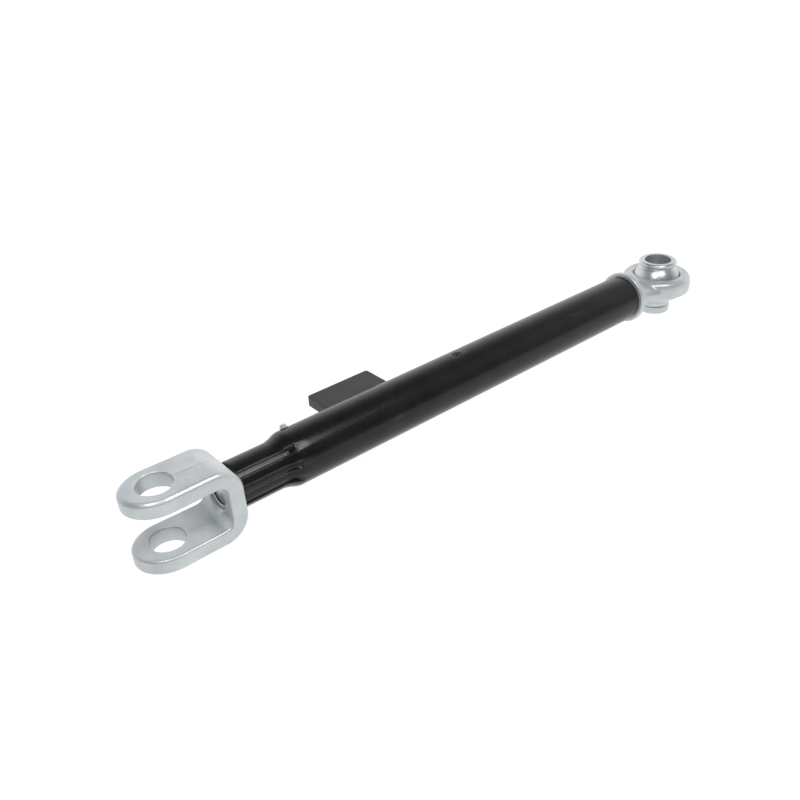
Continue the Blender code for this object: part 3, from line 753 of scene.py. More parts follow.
# ---------------------------------------------------------------- fork end
@dataclass
class ForkEnd:
    """The forged fork, and the threaded spindle that is welded into its web."""

    shop: Workshop
    bar_t: float = 14.1
    bar_half: float = 24.5
    gap_half: float = 19.3
    tip: float = 27.8
    tip_half: float = 24.9
    web_x: float = 45.0
    bend_r: float = 8.0
    join_x: float = 31.0
    pin_r: float = 14.25
    outer_chamfer: float = 2.4
    inner_chamfer: float = 1.3
    edge_round: float = 1.1
    hole_chamfer: float = 0.7
    ridge: float = 0.25
    ridge_half: float = 1.2
    bead_r: float = 12.6
    bead_half: float = 1.5
    bead_rise: float = 0.6
    socket_r: float = 14.3
    head_x: float = 48.6
    head_r: float = 14.0
    thread_r: float = 12.0
    thread_depth: float = 2.3
    lead: float = 5.0
    pilot_x: float = 265.6
    pilot_r: float = 10.0
    end_x: float = 276.0

    def build(self) -> None:
        """Make every piece that moves with the fork."""
        self.fork()
        self.spindle()
        self.spindle_bead()

    def edge_path(self) -> np.ndarray:
        """The bar's long edge, as (inset from the side, height over the inner face) points.

        It runs from the outer face, over the outer chamfer, down the side and round the inner
        chamfer, with its corners rounded.
        """
        top = self.bar_t - self.ridge
        corners = [(self.outer_chamfer + 2.4, top), (self.outer_chamfer, top),
                   (0.0, top - self.outer_chamfer), (0.0, self.inner_chamfer),
                   (self.inner_chamfer, 0.0), (self.inner_chamfer + 2.0, 0.0)]
        return rounded(corners, self.edge_round, closed=False)

    def across(self) -> np.ndarray:
        """Stations across the bar: half * sign(t) |t|^1.6, which crowd towards the middle."""
        t = np.linspace(-1.0, 1.0, 29)
        return self.bar_half * np.sign(t) * np.abs(t) ** 1.6

    def parting_line(self, x: np.ndarray, y: np.ndarray) -> np.ndarray:
        """Height of the forging's parting line: ridge * exp(-(y / half)^2), from hole to web."""
        window = smoothstep(15.5, 18.0, x) * (1.0 - smoothstep(40.0, 50.0, x))
        broken = 0.75 + 0.25 * np.sin(0.9 * x) * np.sin(0.37 * x + 1.0)
        return self.ridge * np.exp(-(y / self.ridge_half) ** 2) * window * broken

    def ear_outline(self) -> tuple[np.ndarray, np.ndarray, np.ndarray]:
        """The ear's outline seen from above, column by column.

        Round the tip it is half an ellipse, x = -tip cos b, y = half sin b. Straight sides
        lead to the join with the bend, and stations across the bar close it there.

        Returns:
            The outline's points, its outward directions, and which columns lie at the join.
        """
        y = self.across()
        join, join_out = joined(self.join_x, y), joined(0.0, y / self.bar_half)
        share = np.linspace(0.0, 1.0, 12)[1:]
        width = self.bar_half + (self.tip_half - self.bar_half) * smoothstep(0.0, 1.0, share)
        side = joined(self.join_x * (1.0 - share), width)
        out = np.broadcast_to([0.0, 1.0], side.shape)
        b = np.linspace(0.5 * math.pi, -0.5 * math.pi, 61)[1:-1]
        tip = joined(-self.tip * np.cos(b), self.tip_half * np.sin(b))
        tip_out = joined(-np.cos(b) / self.tip, np.sin(b) / self.tip_half)
        tip_out /= np.linalg.norm(tip_out, axis=1, keepdims=True)
        flip = np.array([1.0, -1.0])
        points = np.concatenate([join, side, tip, (side * flip)[::-1]])
        outward = np.concatenate([join_out, out, tip_out, (out * flip)[::-1]])
        at_join = np.arange(len(points)) < len(y)
        return points, outward, at_join

    def ear(self, shell: Shell, side: float) -> None:
        """Add one ear: a ring of columns round the pin hole.

        Each row mixes the hole's circle with the outline, moved in by the row's inset:
        p = (1 - m) r (cos a, sin a) + m (P - inset n). The rows run up the hole's wall, out
        over the outer face, round the edge path and back over the inner face.

        Args:
            shell: the shell that it is added to.
            side: +1 for the upper ear and -1 for the lower one.
        """
        outline, outward, at_join = self.ear_outline()
        angle = np.arctan2(outline[:, 1], outline[:, 0])
        round_hole = joined(np.cos(angle), np.sin(angle))
        top = self.bar_t - self.ridge
        mouth = self.pin_r + self.hole_chamfer
        wall = rounded([(mouth, 0.0), (self.pin_r, 0.6), (self.pin_r, top - self.hole_chamfer),
                        (mouth, top)], 0.4, closed=False, steps=3)
        edge = self.edge_path()
        out_share = np.linspace(0.0, 1.0, 15)[1:-1]
        back_share = np.linspace(1.0, 0.0, 11)[1:-1]
        rows = [(r, 0.0, 0.0, h) for r, h in wall]
        rows += [(wall[-1, 0], edge[0, 0], m, top) for m in out_share]
        first_edge = len(rows)
        rows += [(0.0, inset, 1.0, h) for inset, h in edge]
        last_edge = len(rows) - 1
        rows += [(wall[0, 0], edge[-1, 0], m, 0.0) for m in back_share]
        radius, inset, mix, height = (np.array(c)[:, None, None] for c in zip(*rows))
        flat = (1.0 - mix) * radius * round_hole + mix * (outline - inset * outward)
        rise = np.broadcast_to(height[..., 0], flat.shape[:2]).copy()
        outer = slice(len(wall), first_edge + 1)
        rise[outer] += self.parting_line(flat[outer, :, 0], flat[outer, :, 1])
        z = side * (self.gap_half + rise)
        surface = np.concatenate([flat, z[..., None]], axis=-1)
        keep = np.ones((len(rows), len(outline)), bool)
        in_join = at_join & np.roll(at_join, -1)
        keep[first_edge:last_edge, in_join] = False
        shell.grid(surface, wrap_rows=True, keep=keep)

    def bend(self, shell: Shell) -> None:
        """Add the web and both bends: the bar's section carried round the fork's inside.

        The inside path is straight, a quarter circle, straight, a quarter circle, straight. A
        section point at height h lies at path + h n, with n the path's outward direction.

        Args:
            shell: the shell that it is added to.
        """
        corner_x, corner_z = self.web_x - self.bend_r, self.gap_half - self.bend_r
        turn = np.linspace(-0.5 * math.pi, 0.0, 15)
        run = np.linspace(self.join_x, corner_x, 5)[:-1]
        c, s = np.cos(turn), np.sin(turn)
        low = np.concatenate([
            joined(run, -self.gap_half, 0.0, -1.0),
            joined(corner_x + self.bend_r * c, -corner_z + self.bend_r * s, c, s)])
        web = np.linspace(-corner_z, corner_z, 9)[1:-1]
        middle = joined(self.web_x, web, 1.0, 0.0)
        high = (low * np.array([1.0, -1.0, 1.0, -1.0]))[::-1]
        path = np.concatenate([low, middle, high])
        edge, y = self.edge_path(), self.across()
        scale_out, scale_in = 1.0 - edge[[0, -1], 0] / self.bar_half
        outer = joined(y * scale_out, edge[0, 1])
        inner = joined(y * scale_in, 0.0)[::-1]
        near = joined(self.bar_half - edge[1:-1, 0], edge[1:-1, 1])
        far = (near * np.array([-1.0, 1.0]))[::-1]
        section = np.concatenate([outer, near, inner, far])
        height = np.broadcast_to(section[None, :, 1], (len(path), len(section))).copy()
        height[:, :len(y)] += self.parting_line(path[:, :1], section[None, :len(y), 0])
        x = path[:, :1] + path[:, 2:3] * height
        z = path[:, 1:2] + path[:, 3:4] * height
        shell.grid(joined(x, section[None, :, 0], z))

    def fork(self) -> None:
        """The fork: two ears and the bent bar between them, then the spindle's socket."""
        shell = Shell()
        self.ear(shell, 1.0)
        self.ear(shell, -1.0)
        self.bend(shell)
        fork = add_object(shell.mesh("forged_fork", self.shop.layout))
        outside = self.web_x + self.bar_t
        bore = rounded([(self.web_x - 3.0, 0.0), (self.web_x - 3.0, self.socket_r + 3.4),
                        (self.web_x + 0.9, self.socket_r), (outside + 3.0, self.socket_r),
                        (outside + 3.0, 0.0)], 0.8, closed=False)
        tool = self.shop.turn("socket_tool", bore, ring=False)
        combine(fork, tool, "DIFFERENCE")
        self.shop.fit(fork, "fork", Slot.ZINC, "fork")

    def spindle(self) -> None:
        """The screw: a helical thread between its seated head and its grooved pilot.

        The thread's radius is r - depth * f(x / lead - a / 2 pi), where f is a trapezoid wave
        with flat crests and roots, and it fades out over the last turn at either end.
        """
        minor = self.thread_r - self.thread_depth
        start, end = self.web_x + self.bar_t - 0.3, self.pilot_x - 1.5
        x = np.arange(start + 0.2, end, self.lead / 13.0)
        angle = around(52)
        wave = np.abs((x[:, None] / self.lead - angle[None, :] / TAU) % 1.0 - 0.5) * 4.0
        cut = smoothstep(0.62, 1.38, wave)
        fade = smoothstep(start + 1.0, start + 4.0, x) * (1.0 - smoothstep(end - 5.0, end, x))
        radius = self.thread_r - self.thread_depth * cut * fade[:, None]
        head = rounded([(self.head_x, 0.0), (self.head_x, self.head_r - 1.0),
                        (self.head_x + 1.0, self.head_r), (start, self.head_r),
                        (start, self.thread_r)], 0.4, closed=False)
        groove, groove_end, root = self.pilot_x + 4.9, self.pilot_x + 7.1, self.pilot_r - 1.1
        pilot = rounded([(end, self.thread_r), (self.pilot_x, minor + 0.8),
                         (self.pilot_x, self.pilot_r), (groove, self.pilot_r), (groove, root),
                         (groove_end, root), (groove_end, self.pilot_r),
                         (self.end_x - 1.2, self.pilot_r), (self.end_x, self.pilot_r - 1.2),
                         (self.end_x, 0.0)], 0.2, closed=False)
        surface = np.concatenate([turned(head, Axis.ALONG, len(angle)),
                                  wheel(x[:, None], radius, angle),
                                  turned(pilot, Axis.ALONG, len(angle))])
        self.shop.make(Shell().grid(surface), "threaded_spindle", "fork", Slot.STEEL, "spindle")

    def spindle_bead(self) -> None:
        """The weld round the spindle's head: a flat torus whose size ripples round the turn."""
        angle, turn = around(276)[None, :], around(14)[:, None]
        size = 1.0 + 0.02 * np.cos(46.0 * angle + 1.1 * np.cos(turn))
        radius = self.bead_r + self.bead_half * size * np.cos(turn)
        x = self.head_x - 0.95 + self.bead_rise * size * np.sin(turn)
        self.shop.make(Shell().grid(wheel(x, radius, angle), wrap_rows=True),
                       "spindle_head_weld", "fork", Slot.ZINC, "spindle_weld")


# ---------------------------------------------------------------- tube
@dataclass
class TubeAssembly:
    """The painted tube with its drawn neck, and what is welded or screwed to it."""

    shop: Workshop
    radius: float = 24.15
    bore: float = 19.85
    end_x: float = 547.0
    neck_r: float = 20.2
    neck_bore: float = 16.5
    neck_x: float = 59.4
    shoulder: tuple[float, float] = (100.0, 112.0)
    flute_depth: float = 1.5
    flute_angles: tuple[float, ...] = (129.0, 164.0, 199.0)
    flute_width: float = 8.8
    flute_end: tuple[float, float] = (104.5, 114.5)
    plate_x: tuple[float, float] = (176.6, 245.7)
    plate_y: tuple[float, float] = (24.6, 65.1)
    plate_t: float = 10.0
    plate_corner: float = 3.0
    weld_leg: float = 5.2
    weld_rise: float = 11.5
    weld_pitch: float = 2.1
    nipple_x: float = 119.5
    nipple_tilt: float = 32.0
    plug_x: float = 302.7

    def build(self) -> None:
        """Make every piece that turns with the tube."""
        self.tube()
        self.turning_plate()
        self.plate_weld("plate_weld_top", 1.0, "plate_weld_upper")
        self.plate_weld("plate_weld_bottom", -1.0, "plate_weld_lower")
        self.grease_nipple()
        self.plug()
        self.end_seal()
        self.neck_wiper()

    def flutes(self, degrees: np.ndarray) -> np.ndarray:
        """Share of the flutes' depth at an angle: flat bottoms between smoothstep walls."""
        centres = np.array(self.flute_angles)
        centres = np.concatenate([centres, centres + 180.0])[:, None]
        away = np.abs((degrees[None, :] - centres + 180.0) % 360.0 - 180.0) / self.flute_width
        return 1.0 - smoothstep(0.52, 1.0, away).min(axis=0)

    def tube(self) -> None:
        """The tube: R(x, a) = R0(x) - f(a) (R0(x) - G(x)), with f from flutes().

        R0 is the rounded profile of neck, shoulder and tube. G is the radius of the flutes'
        bottoms, which run on into the shoulder and rise to meet the tube just beyond it.
        """
        start, end = self.shoulder
        outside = rounded([
            (self.neck_x, self.neck_bore), (self.neck_x, self.neck_r - 0.7),
            (self.neck_x + 0.7, self.neck_r), (start - 1.5, self.neck_r),
            (start + 3.6, self.neck_r + 1.1), (end - 3.2, self.radius - 0.9),
            (end, self.radius), (self.end_x - 0.8, self.radius),
            (self.end_x, self.radius - 0.8), (self.end_x, self.bore + 0.6),
            (self.end_x - 0.6, self.bore), (end + 2.0, self.bore),
            (start + 3.0, self.neck_bore)], 1.6, steps=6)
        x, base = self.refined(outside)
        angle = around(288)
        share = self.flutes(np.degrees(angle))[None, :]
        outer = (base > 0.5 * (self.neck_r + self.neck_bore))[:, None]
        bottom = self.neck_r - self.flute_depth
        bottom = bottom + (self.radius - bottom) * smoothstep(*self.flute_end, x)
        dent = np.maximum(base - bottom, 0.0)[:, None]
        radius = base[:, None] - outer * share * dent
        shell = Shell().grid(wheel(x[:, None], radius, angle), wrap_rows=True)
        tube = add_object(shell.mesh("painted_tube", self.shop.layout))
        for name, profile, place, tilt in (
                ("nipple_drill", [(18.0, 0.0), (18.0, 3.4), (30.0, 3.4), (30.0, 0.0)],
                 self.nipple_x, self.nipple_tilt),
                ("plug_tap", [(18.0, 0.0), (18.0, 4.3), (23.2, 4.3), (25.2, 5.8), (25.2, 0.0)],
                 self.plug_x, 0.0)):
            tool = self.shop.turn(name, np.array(profile), Axis.UPRIGHT, 48,
                                  (place, 0.0, 0.0), tilt, ring=False)
            combine(tube, tool, "DIFFERENCE")
        self.shop.fit(tube, "tube", Slot.GLOSS_BLACK, "tube")

    def refined(self, profile: np.ndarray) -> tuple[np.ndarray, np.ndarray]:
        """Add stations to a closed profile so that no step is longer than its limit.

        The limit is 0.8 mm along the neck and 12 mm along the plain tube.

        Args:
            profile: the closed profile's points.

        Returns:
            The stations' heights and radii.
        """
        after = np.roll(profile, -1, axis=0)
        middle = 0.5 * (profile[:, 0] + after[:, 0])
        limit = np.where(middle < self.shoulder[1] + 2.0, 0.8, 12.0)
        parts = np.ceil(np.linalg.norm(after - profile, axis=1) / limit).astype(int)
        parts = np.maximum(parts, 1)
        which = np.repeat(np.arange(len(profile)), parts)
        first = np.repeat(np.cumsum(parts) - parts, parts)
        share = ((np.arange(len(which)) - first) / parts[which])[:, None]
        points = profile[which] * (1.0 - share) + after[which] * share
        return points[:, 0], points[:, 1]

    def turning_plate(self) -> None:
        """The plate: rows of its outline, moved in by the edge's profile, with flat ends.

        Each outline point is centre + (half - inset) * c, plus a corner circle of its radius.
        """
        (low, high), (near, far) = self.plate_x, self.plate_y
        half_t = 0.5 * self.plate_t
        profile = rounded([(4.0, -half_t), (0.45, -half_t), (0.0, 0.5 - half_t),
                           (0.0, half_t - 0.5), (0.45, half_t), (4.0, half_t)], 0.5,
                          closed=False)
        angle = np.linspace(0.0, 0.5 * math.pi, 9)[None, :]
        quarter = angle + 0.5 * math.pi * np.arange(4)[:, None]
        sign = np.array([[1.0, 1.0], [-1.0, 1.0], [-1.0, -1.0], [1.0, -1.0]])
        rounding = np.array([self.plate_corner, self.plate_corner, 0.4, 0.4])[:, None]
        half = np.array([0.5 * (high - low), 0.5 * (far - near)])
        middle = np.array([0.5 * (high + low), 0.5 * (far + near)])
        inset, z = profile[:, 0, None, None], profile[:, 1, None, None]
        reach = np.maximum(rounding - np.minimum(inset, rounding - 0.05), 0.05)
        pull = np.maximum(inset - (rounding - 0.05), 0.0)
        x = middle[0] + sign[:, :1] * (half[0] - rounding - pull) + reach * np.cos(quarter)
        y = middle[1] + sign[:, 1:] * (half[1] - rounding - pull) + reach * np.sin(quarter)
        surface = joined(x, y, z).reshape(len(profile), -1, 3)
        self.shop.make(Shell().capped(surface), "turning_bar", "tube", Slot.MATT_BLACK,
                       "turning_plate")

    def plate_weld(self, name: str, side: float, node: str) -> None:
        """A fillet weld: its section scales with 1 + 0.07 cos(ripple), and shrinks at its ends.

        Args:
            name: the piece's name.
            side: +1 above the plate and -1 below it.
            node: the CAD node that it replaces.
        """
        low, high = self.plate_x
        foot, skin = 0.5 * self.plate_t + 0.3, self.radius + 0.45
        x = np.linspace(low + 0.6, high - 0.6, 260)
        ends = np.minimum(x - low, high - x)
        swell = 0.55 + 0.45 * smoothstep(0.0, 3.5, ends)
        t = np.linspace(0.0, 1.0, 9)[None, :]
        ripple = x[:, None] * TAU / self.weld_pitch + 2.2 * np.cos(math.pi * (t - 0.5))
        size = (swell[:, None] * (0.97 + 0.05 * np.cos(ripple))
                + 0.03 * np.sin(x[:, None] * 0.31) * np.sin(x[:, None] * 0.83))
        corner = np.array([math.sqrt(skin ** 2 - foot ** 2), foot])
        rise = math.asin(foot / skin) + np.radians(self.weld_rise) * size
        top = skin * joined(np.cos(rise), np.sin(rise))
        toe = corner + joined(self.weld_leg * size, 0.0)
        t = t[..., None]
        bulge = np.array([0.55, 0.55]) * (4.0 * t * (1.0 - t)) * size[..., None]
        curve = (1.0 - t) * toe + t * top + bulge
        root = np.broadcast_to(corner, (len(x), 1, 2))
        section = np.concatenate([root, curve], axis=1)
        surface = joined(x[:, None], section[..., 0], side * section[..., 1])
        self.shop.make(Shell().capped(surface), name, "tube", Slot.MATT_BLACK, node)

    def grease_nipple(self) -> None:
        """The grease nipple: a turned body with a collar, a waist and a cupped head."""
        profile = rounded([
            (20.4, 0.9), (20.4, 2.7), (20.8, 3.0), (24.3, 3.0), (24.3, 3.75), (25.3, 3.75),
            (25.5, 3.2), (26.0, 2.5), (26.4, 2.9), (27.0, 2.9), (27.5, 2.3), (27.8, 1.5),
            (27.8, 0.95), (27.0, 0.95), (27.0, 1.75), (21.4, 1.75), (21.4, 0.9)], 0.15, steps=3)
        surface = turned(profile, Axis.UPRIGHT, 48, (self.nipple_x, 0.0, 0.0), self.nipple_tilt)
        self.shop.make(Shell().grid(surface, wrap_rows=True), "grease_fitting", "tube",
                       Slot.ZINC, "grease_nipple")

    def plug(self) -> None:
        """The set screw: a turned disc whose socket's radius is flat / cos(a - nearest flat)."""
        top = 23.5
        outer = rounded([(20.4, 0.0), (20.4, 3.6), (20.8, 4.0), (top - 0.5, 4.0),
                         (top, 3.5), (top, 2.3)], 0.25, closed=False, steps=3)
        angle = around(48)
        sector = (angle + math.pi / 6.0) % (math.pi / 3.0) - math.pi / 6.0
        hexagon = 1.75 / np.cos(sector)
        depth = np.array([top - 0.02, top - 0.25, top - 1.6, top - 1.6])[:, None]
        reach = np.array([1.12, 1.0, 1.0, 0.0])[:, None] * hexagon
        points = np.concatenate([wheel(outer[:, :1], outer[:, 1:], angle),
                                 wheel(depth, reach, angle)])[..., [1, 2, 0]]
        surface = points + np.array([self.plug_x, 0.0, 0.0])
        self.shop.make(Shell().grid(surface), "set_screw", "tube", Slot.GLOSS_BLACK,
                       "plug_screw")

    def end_seal(self) -> None:
        """The rubber ring at the tube's end, with two low ribs round it."""
        profile = rounded([(547.3, 20.6), (547.3, 23.3), (547.6, 23.6), (548.0, 23.6),
                           (548.25, 23.2), (548.5, 23.6), (548.9, 23.6), (549.2, 23.3),
                           (549.2, 20.6)], 0.2, steps=3)
        seal = self.shop.turn("swivel_seal", profile, segments=144)
        self.shop.fit(seal, "tube", Slot.RUBBER, "end_seal")

    def neck_wiper(self) -> None:
        """The rubber wiper in the neck's mouth, with a groove behind its lip."""
        profile = rounded([(60.0, 12.35), (60.0, 13.2), (61.0, 14.0), (60.2, 14.8),
                           (60.2, 16.2), (64.0, 16.2), (64.0, 12.6), (61.2, 12.6)], 0.3, steps=3)
        wiper = self.shop.turn("mouth_wiper", profile, segments=72)
        self.shop.fit(wiper, "tube", Slot.RUBBER, "neck_wiper")


# ---------------------------------------------------------------- eye end
@dataclass
class EyeEnd:
    """The forged eye, and the ball and race inside it."""

    shop: Workshop
    collar: tuple[float, float] = (549.5, 556.5)
    collar_r: float = 27.4
    shank_r: float = 13.0
    shank_step: float = 505.0
    thread_r: float = 10.0
    tail_x: float = 482.0
    band_r: float = 37.0
    band_edge_r: float = 34.0
    band_h: float = 11.5
    race_r: float = 31.0
    race_h: float = 8.5
    ball_r: float = 26.8
    bore_r: float = 14.25
    collar_top: float = 26.6
    sleeve_r: float = 20.2
    sleeve_neck: float = 18.4
    long_sleeve_r: float = 17.4
    long_sleeve_z: float = -33.2
    flat_z: float = 19.0
    gap: float = 0.3
    voxel: float = 0.00075

    def build(self) -> None:
        """Make the eye, the race and the ball."""
        self.eye()
        self.race()
        self.ball()

    def centre(self) -> tuple[float, float, float]:
        """The ball's centre, in millimetres from the fork's pin."""
        return (self.shop.layout.eye_x, 0.0, 0.0)

    def band(self) -> np.ndarray:
        """The band's profile: edge radius + crown * sqrt(1 - t^2) over its height."""
        t = np.linspace(-1.0, 1.0, 17)[1:-1]
        height = self.band_h - 1.2
        rise = (self.band_r - self.band_edge_r) * np.sqrt(1.0 - t * t)
        crown = joined(t * height, self.band_edge_r + rise)
        top = np.array([(height, self.band_edge_r), (self.band_h, self.band_edge_r - 2.0),
                        (self.band_h, 0.0)])
        low = np.array([(-self.band_h, 0.0), (-self.band_h, self.band_edge_r - 4.5),
                        (-0.62 * self.band_h, self.band_edge_r + 1.2)])
        return np.concatenate([low, crown[crown[:, 0] > low[-1, 0] + 0.6], top])

    def waist(self) -> np.ndarray:
        """The waist: ovals whose half axes follow smooth curves from the collar to the band."""
        stations = np.array([552.5, 558.0, 566.0, 574.0, 584.0, 596.0])
        x = np.linspace(stations[0], stations[-1], 40)
        half_y = np.interp(x, stations, [22.6, 22.4, 22.0, 23.5, 26.0, 26.6])
        half_z = np.interp(x, stations, [21.6, 19.8, 15.5, 12.0, 10.2, 9.0])
        return joined(1.0, half_y, half_z)[:, None] * wheel(x[:, None], 1.0, around(72))

    def eye(self) -> None:
        """The forging: band and waist melted together, then the turned collar and the bore."""
        shell = Shell().capped(self.waist())
        shell.grid(turned(self.band(), Axis.UPRIGHT, 128, self.centre()))
        eye = add_object(shell.mesh("forged_eye", self.shop.layout))
        melt = eye.modifiers.new("melt", "REMESH")
        melt.mode = "VOXEL"
        melt.voxel_size = self.voxel
        soften = eye.modifiers.new("soften", "SMOOTH")
        soften.factor = 0.5
        soften.iterations = 9
        settle(eye)
        start, end = self.collar
        tail, step = self.tail_x, self.shank_step
        turned_part = rounded([
            (tail, 0.0), (tail, self.thread_r - 1.2), (tail + 1.2, self.thread_r),
            (step, self.thread_r), (step, self.shank_r - 0.8), (step + 0.8, self.shank_r),
            (start, self.shank_r), (start, self.collar_r - 1.0),
            (start + 1.0, self.collar_r), (end - 2.2, self.collar_r),
            (end - 0.6, self.collar_r - 0.9), (end, self.collar_r - 2.4), (end, 0.0)],
            0.6, closed=False)
        combine(eye, self.shop.turn("collar_tool", turned_part, segments=128, ring=False),
                "UNION")
        groove = self.race_h + self.gap
        lip = math.sqrt(self.ball_r ** 2 - groove ** 2) + self.gap
        mouth = lip + 1.3
        half = [(groove, self.race_r + self.gap), (groove, lip), (self.band_h - 1.3, lip),
                (self.band_h, mouth), (self.band_h + 5.0, mouth), (self.band_h + 5.0, 0.0)]
        cut = np.array([(-z, r) for z, r in reversed(half)] + half)
        combine(eye, self.shop.turn("bore_tool", cut, Axis.UPRIGHT, 128, self.centre(),
                                    ring=False), "DIFFERENCE")
        self.shop.fit(eye, "eye", Slot.ZINC, "eye_housing")

    def race(self) -> None:
        """The race: its inside follows the ball, r = sqrt((R + gap)^2 - z^2)."""
        z = np.linspace(self.race_h, -self.race_h, 25)
        inside = joined(z, np.sqrt((self.ball_r + self.gap) ** 2 - z * z))
        edge = 0.5
        outside = np.array([(-self.race_h, self.race_r - edge), (edge - self.race_h, self.race_r),
                            (self.race_h - edge, self.race_r), (self.race_h, self.race_r - edge)])
        race = self.shop.turn("split_race", np.concatenate([outside, inside]), Axis.UPRIGHT,
                              128, self.centre())
        self.shop.fit(race, "race", Slot.OILED, "ball_race")

    def ball(self) -> None:
        """The ball: r = sqrt(R^2 - z^2) between its flats, with a sleeve at either end."""
        top, low = self.collar_top, self.long_sleeve_z
        z = np.linspace(self.flat_z, -self.flat_z, 41)
        sphere = joined(z, np.sqrt(self.ball_r ** 2 - z * z))
        upper = rounded([(top - 0.5, self.bore_r), (top, self.bore_r + 0.6),
                         (top, self.sleeve_r - 1.7), (top - 1.4, self.sleeve_r),
                         (top - 3.6, self.sleeve_r), (top - 5.4, self.sleeve_neck),
                         (self.flat_z + 1.2, self.sleeve_neck),
                         (self.flat_z + 0.1, self.sleeve_neck + 1.4)], 0.45, closed=False)
        lower = rounded([(-self.flat_z - 0.1, self.long_sleeve_r + 1.0),
                         (-self.flat_z - 1.2, self.long_sleeve_r - 0.6),
                         (low + 9.0, self.long_sleeve_r - 0.6), (low + 8.0, self.long_sleeve_r),
                         (low + 1.4, self.long_sleeve_r), (low, self.long_sleeve_r - 1.2),
                         (low, self.bore_r + 0.5), (low + 0.5, self.bore_r)], 0.45,
                        closed=False)
        ball = self.shop.turn("sleeved_ball", np.concatenate([upper, sphere, lower]),
                              Axis.UPRIGHT, 128, self.centre())
        mark_machined(ball.data)
        self.shop.fit(ball, "ball", Slot.ZINC, "ball")


# ---------------------------------------------------------------- pieces kept from CAD
def dress_kept_nodes(materials: dict[Slot, bpy.types.Material], replaced: set[str]) -> None:
    """Give every CAD node that still shows the procedural material of its own slot.

    Args:
        materials: each slot's material.
        replaced: the nodes that a detailed piece stands for.
    """
    slots = {part["node"]: Slot(part["material_slot"]) for part in frame["record"]["subparts"]}
    for name in sorted(set(frame["nodes"]) - replaced):
        node = frame["nodes"][name]
        node.data.materials.clear()
        node.data.materials.append(materials[slots[name]])
        log.info("%s: kept, finished in %s", name, slots[name].value)


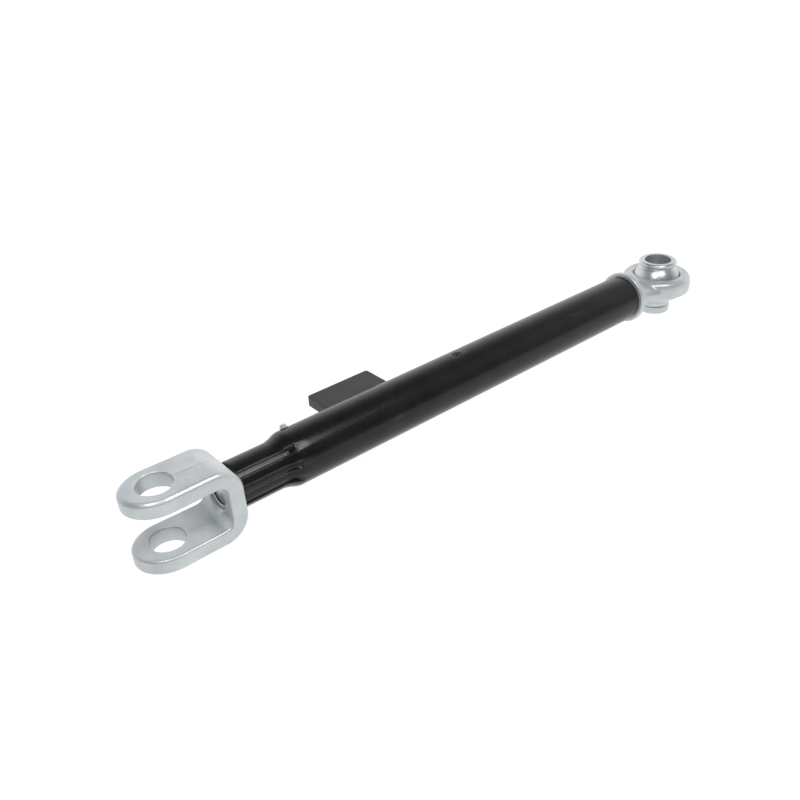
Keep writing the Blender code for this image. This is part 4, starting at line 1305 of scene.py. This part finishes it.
# ---------------------------------------------------------------- studio
@dataclass
class Studio:
    """A white floor, a pale sky, soft boxes and the camera."""

    layout: Layout
    floor_half: float = 40.0
    floor_gap: float = 0.0004
    sky_bright: float = 1.25
    sky_dim: float = 0.12
    window: tuple[float, float, float] = (0.62, 0.78, 0.0)
    eye_mm: tuple[float, float, float] = (-167.8, -504.4, 391.0)
    yaw: float = 38.44
    pitch: float = 30.96
    roll: float = -3.38
    lens: float = 37.93

    def build(self) -> None:
        """Make the studio and aim the camera."""
        self.floor()
        self.sky()
        self.soft_box("key_box", (-0.74, -0.50, 1.44), 0.5, 8.5)
        self.soft_box("near_box", (0.13, -0.62, 1.10), 0.4, 5.5)
        self.camera()
        bpy.context.scene.view_settings.view_transform = "Standard"

    def floor(self) -> None:
        """A flat white floor at the height that the object stands on."""
        low = min(CAD_BOX[0][2], 0.0)
        grid = np.linspace(-self.floor_half, self.floor_half, 9)
        x, y = np.meshgrid(grid, grid, indexing="ij")
        points = joined(x, y, low - self.floor_gap)
        mesh = bpy.data.meshes.new("white_floor")
        faces = quads(9, 9, False, False)[:, ::-1]
        mesh.from_pydata(points.reshape(-1, 3).tolist(), [], faces.tolist())
        floor = add_object(mesh)
        mat = bpy.data.materials.new("white_floor")
        mat.use_nodes = True
        shader = mat.node_tree.nodes["Principled BSDF"]
        shader.inputs["Base Color"].default_value = (0.15, 0.15, 0.15, 1.0)
        shader.inputs["Roughness"].default_value = 0.8
        shader.inputs["Specular IOR Level"].default_value = 0.0
        shader.inputs["Emission Color"].default_value = (1.0, 1.0, 1.0, 1.0)
        shader.inputs["Emission Strength"].default_value = 0.97
        mesh.materials.append(mat)

    def sky(self) -> None:
        """A sky that is bright low down on the window's side, and dim overhead and opposite.

        Its strength is dim + (bright - dim) * low(up) * facing(towards the window).
        """
        world = bpy.data.worlds.new("studio_sky")
        bpy.context.scene.world = world
        world.use_nodes = True
        nodes = Nodes(world.node_tree)
        direction = nodes.add("TexCoord").outputs["Generated"]
        up = nodes.add("SeparateXYZ", None, Vector=direction).outputs["Z"]
        low = nodes.add("MapRange", {"interpolation_type": "SMOOTHSTEP"}, Value=up,
                        From_Min=0.42, From_Max=0.92, To_Min=1.0, To_Max=0.0).outputs[0]
        towards = nodes.add("VectorMath", {"operation": "DOT_PRODUCT"})
        nodes.put(towards, "0", direction)
        nodes.put(towards, "1", self.window)
        facing = nodes.add("MapRange", {"interpolation_type": "SMOOTHSTEP"},
                           Value=towards.outputs["Value"], From_Min=-0.45,
                           From_Max=0.55).outputs[0]
        share = nodes.calculate("MULTIPLY", low, facing)
        strength = nodes.spread(share, self.sky_dim, self.sky_bright)
        sky = world.node_tree.nodes["Background"]
        nodes.put(sky, "Color", nodes.add("CombineXYZ", None, X=strength, Y=strength,
                                          Z=strength).outputs[0])

    def soft_box(self, name: str, place: tuple[float, float, float], size: float,
                 watts: float) -> None:
        """Add a square soft box that faces the object.

        Args:
            name: the light's name.
            place: where it stands, in metres.
            size: the length of its side.
            watts: its power.
        """
        data = bpy.data.lights.new(name, "AREA")
        data.size = size
        data.energy = watts
        light = bpy.data.objects.new(name, data)
        bpy.context.scene.collection.objects.link(light)
        light.location = place
        light.rotation_mode = "QUATERNION"
        light.rotation_quaternion = (-Vector(place)).to_track_quat("-Z", "Y")

    def camera(self) -> None:
        """Stand the camera at the viewing point and turn it by yaw, pitch and roll."""
        yaw, pitch, roll = (math.radians(a) for a in (self.yaw, self.pitch, self.roll))
        ahead = Vector((math.sin(yaw) * math.cos(pitch), math.cos(yaw) * math.cos(pitch),
                        -math.sin(pitch)))
        right = Vector((math.cos(yaw), -math.sin(yaw), 0.0))
        up = right.cross(ahead)
        across = right * math.cos(roll) + up * math.sin(roll)
        upward = up * math.cos(roll) - right * math.sin(roll)
        turn = Matrix((across, upward, -ahead)).transposed().to_4x4()
        place = Vector(self.layout.place(np.array(self.eye_mm)))
        data = bpy.data.cameras.new("camera")
        data.lens = self.lens
        data.clip_start, data.clip_end = 0.01, 200.0
        camera = bpy.data.objects.new("camera", data)
        bpy.context.scene.collection.objects.link(camera)
        camera.matrix_world = Matrix.Translation(place) @ turn
        bpy.context.scene.camera = camera


def main() -> None:
    """Build the finishes, the three sub-assemblies and the studio."""
    logging.basicConfig(level=logging.INFO, format="%(name)s: %(message)s")
    layout = Layout.from_frame()
    effects = Effects.build()
    materials = {finish.slot: finish.material(effects) for finish in FINISHES}
    shop = Workshop(layout, materials)
    ForkEnd(shop).build()
    TubeAssembly(shop).build()
    EyeEnd(shop).build()
    dress_kept_nodes(materials, shop.replaced)
    Studio(layout).build()


if __name__ == "__main__":
    main()
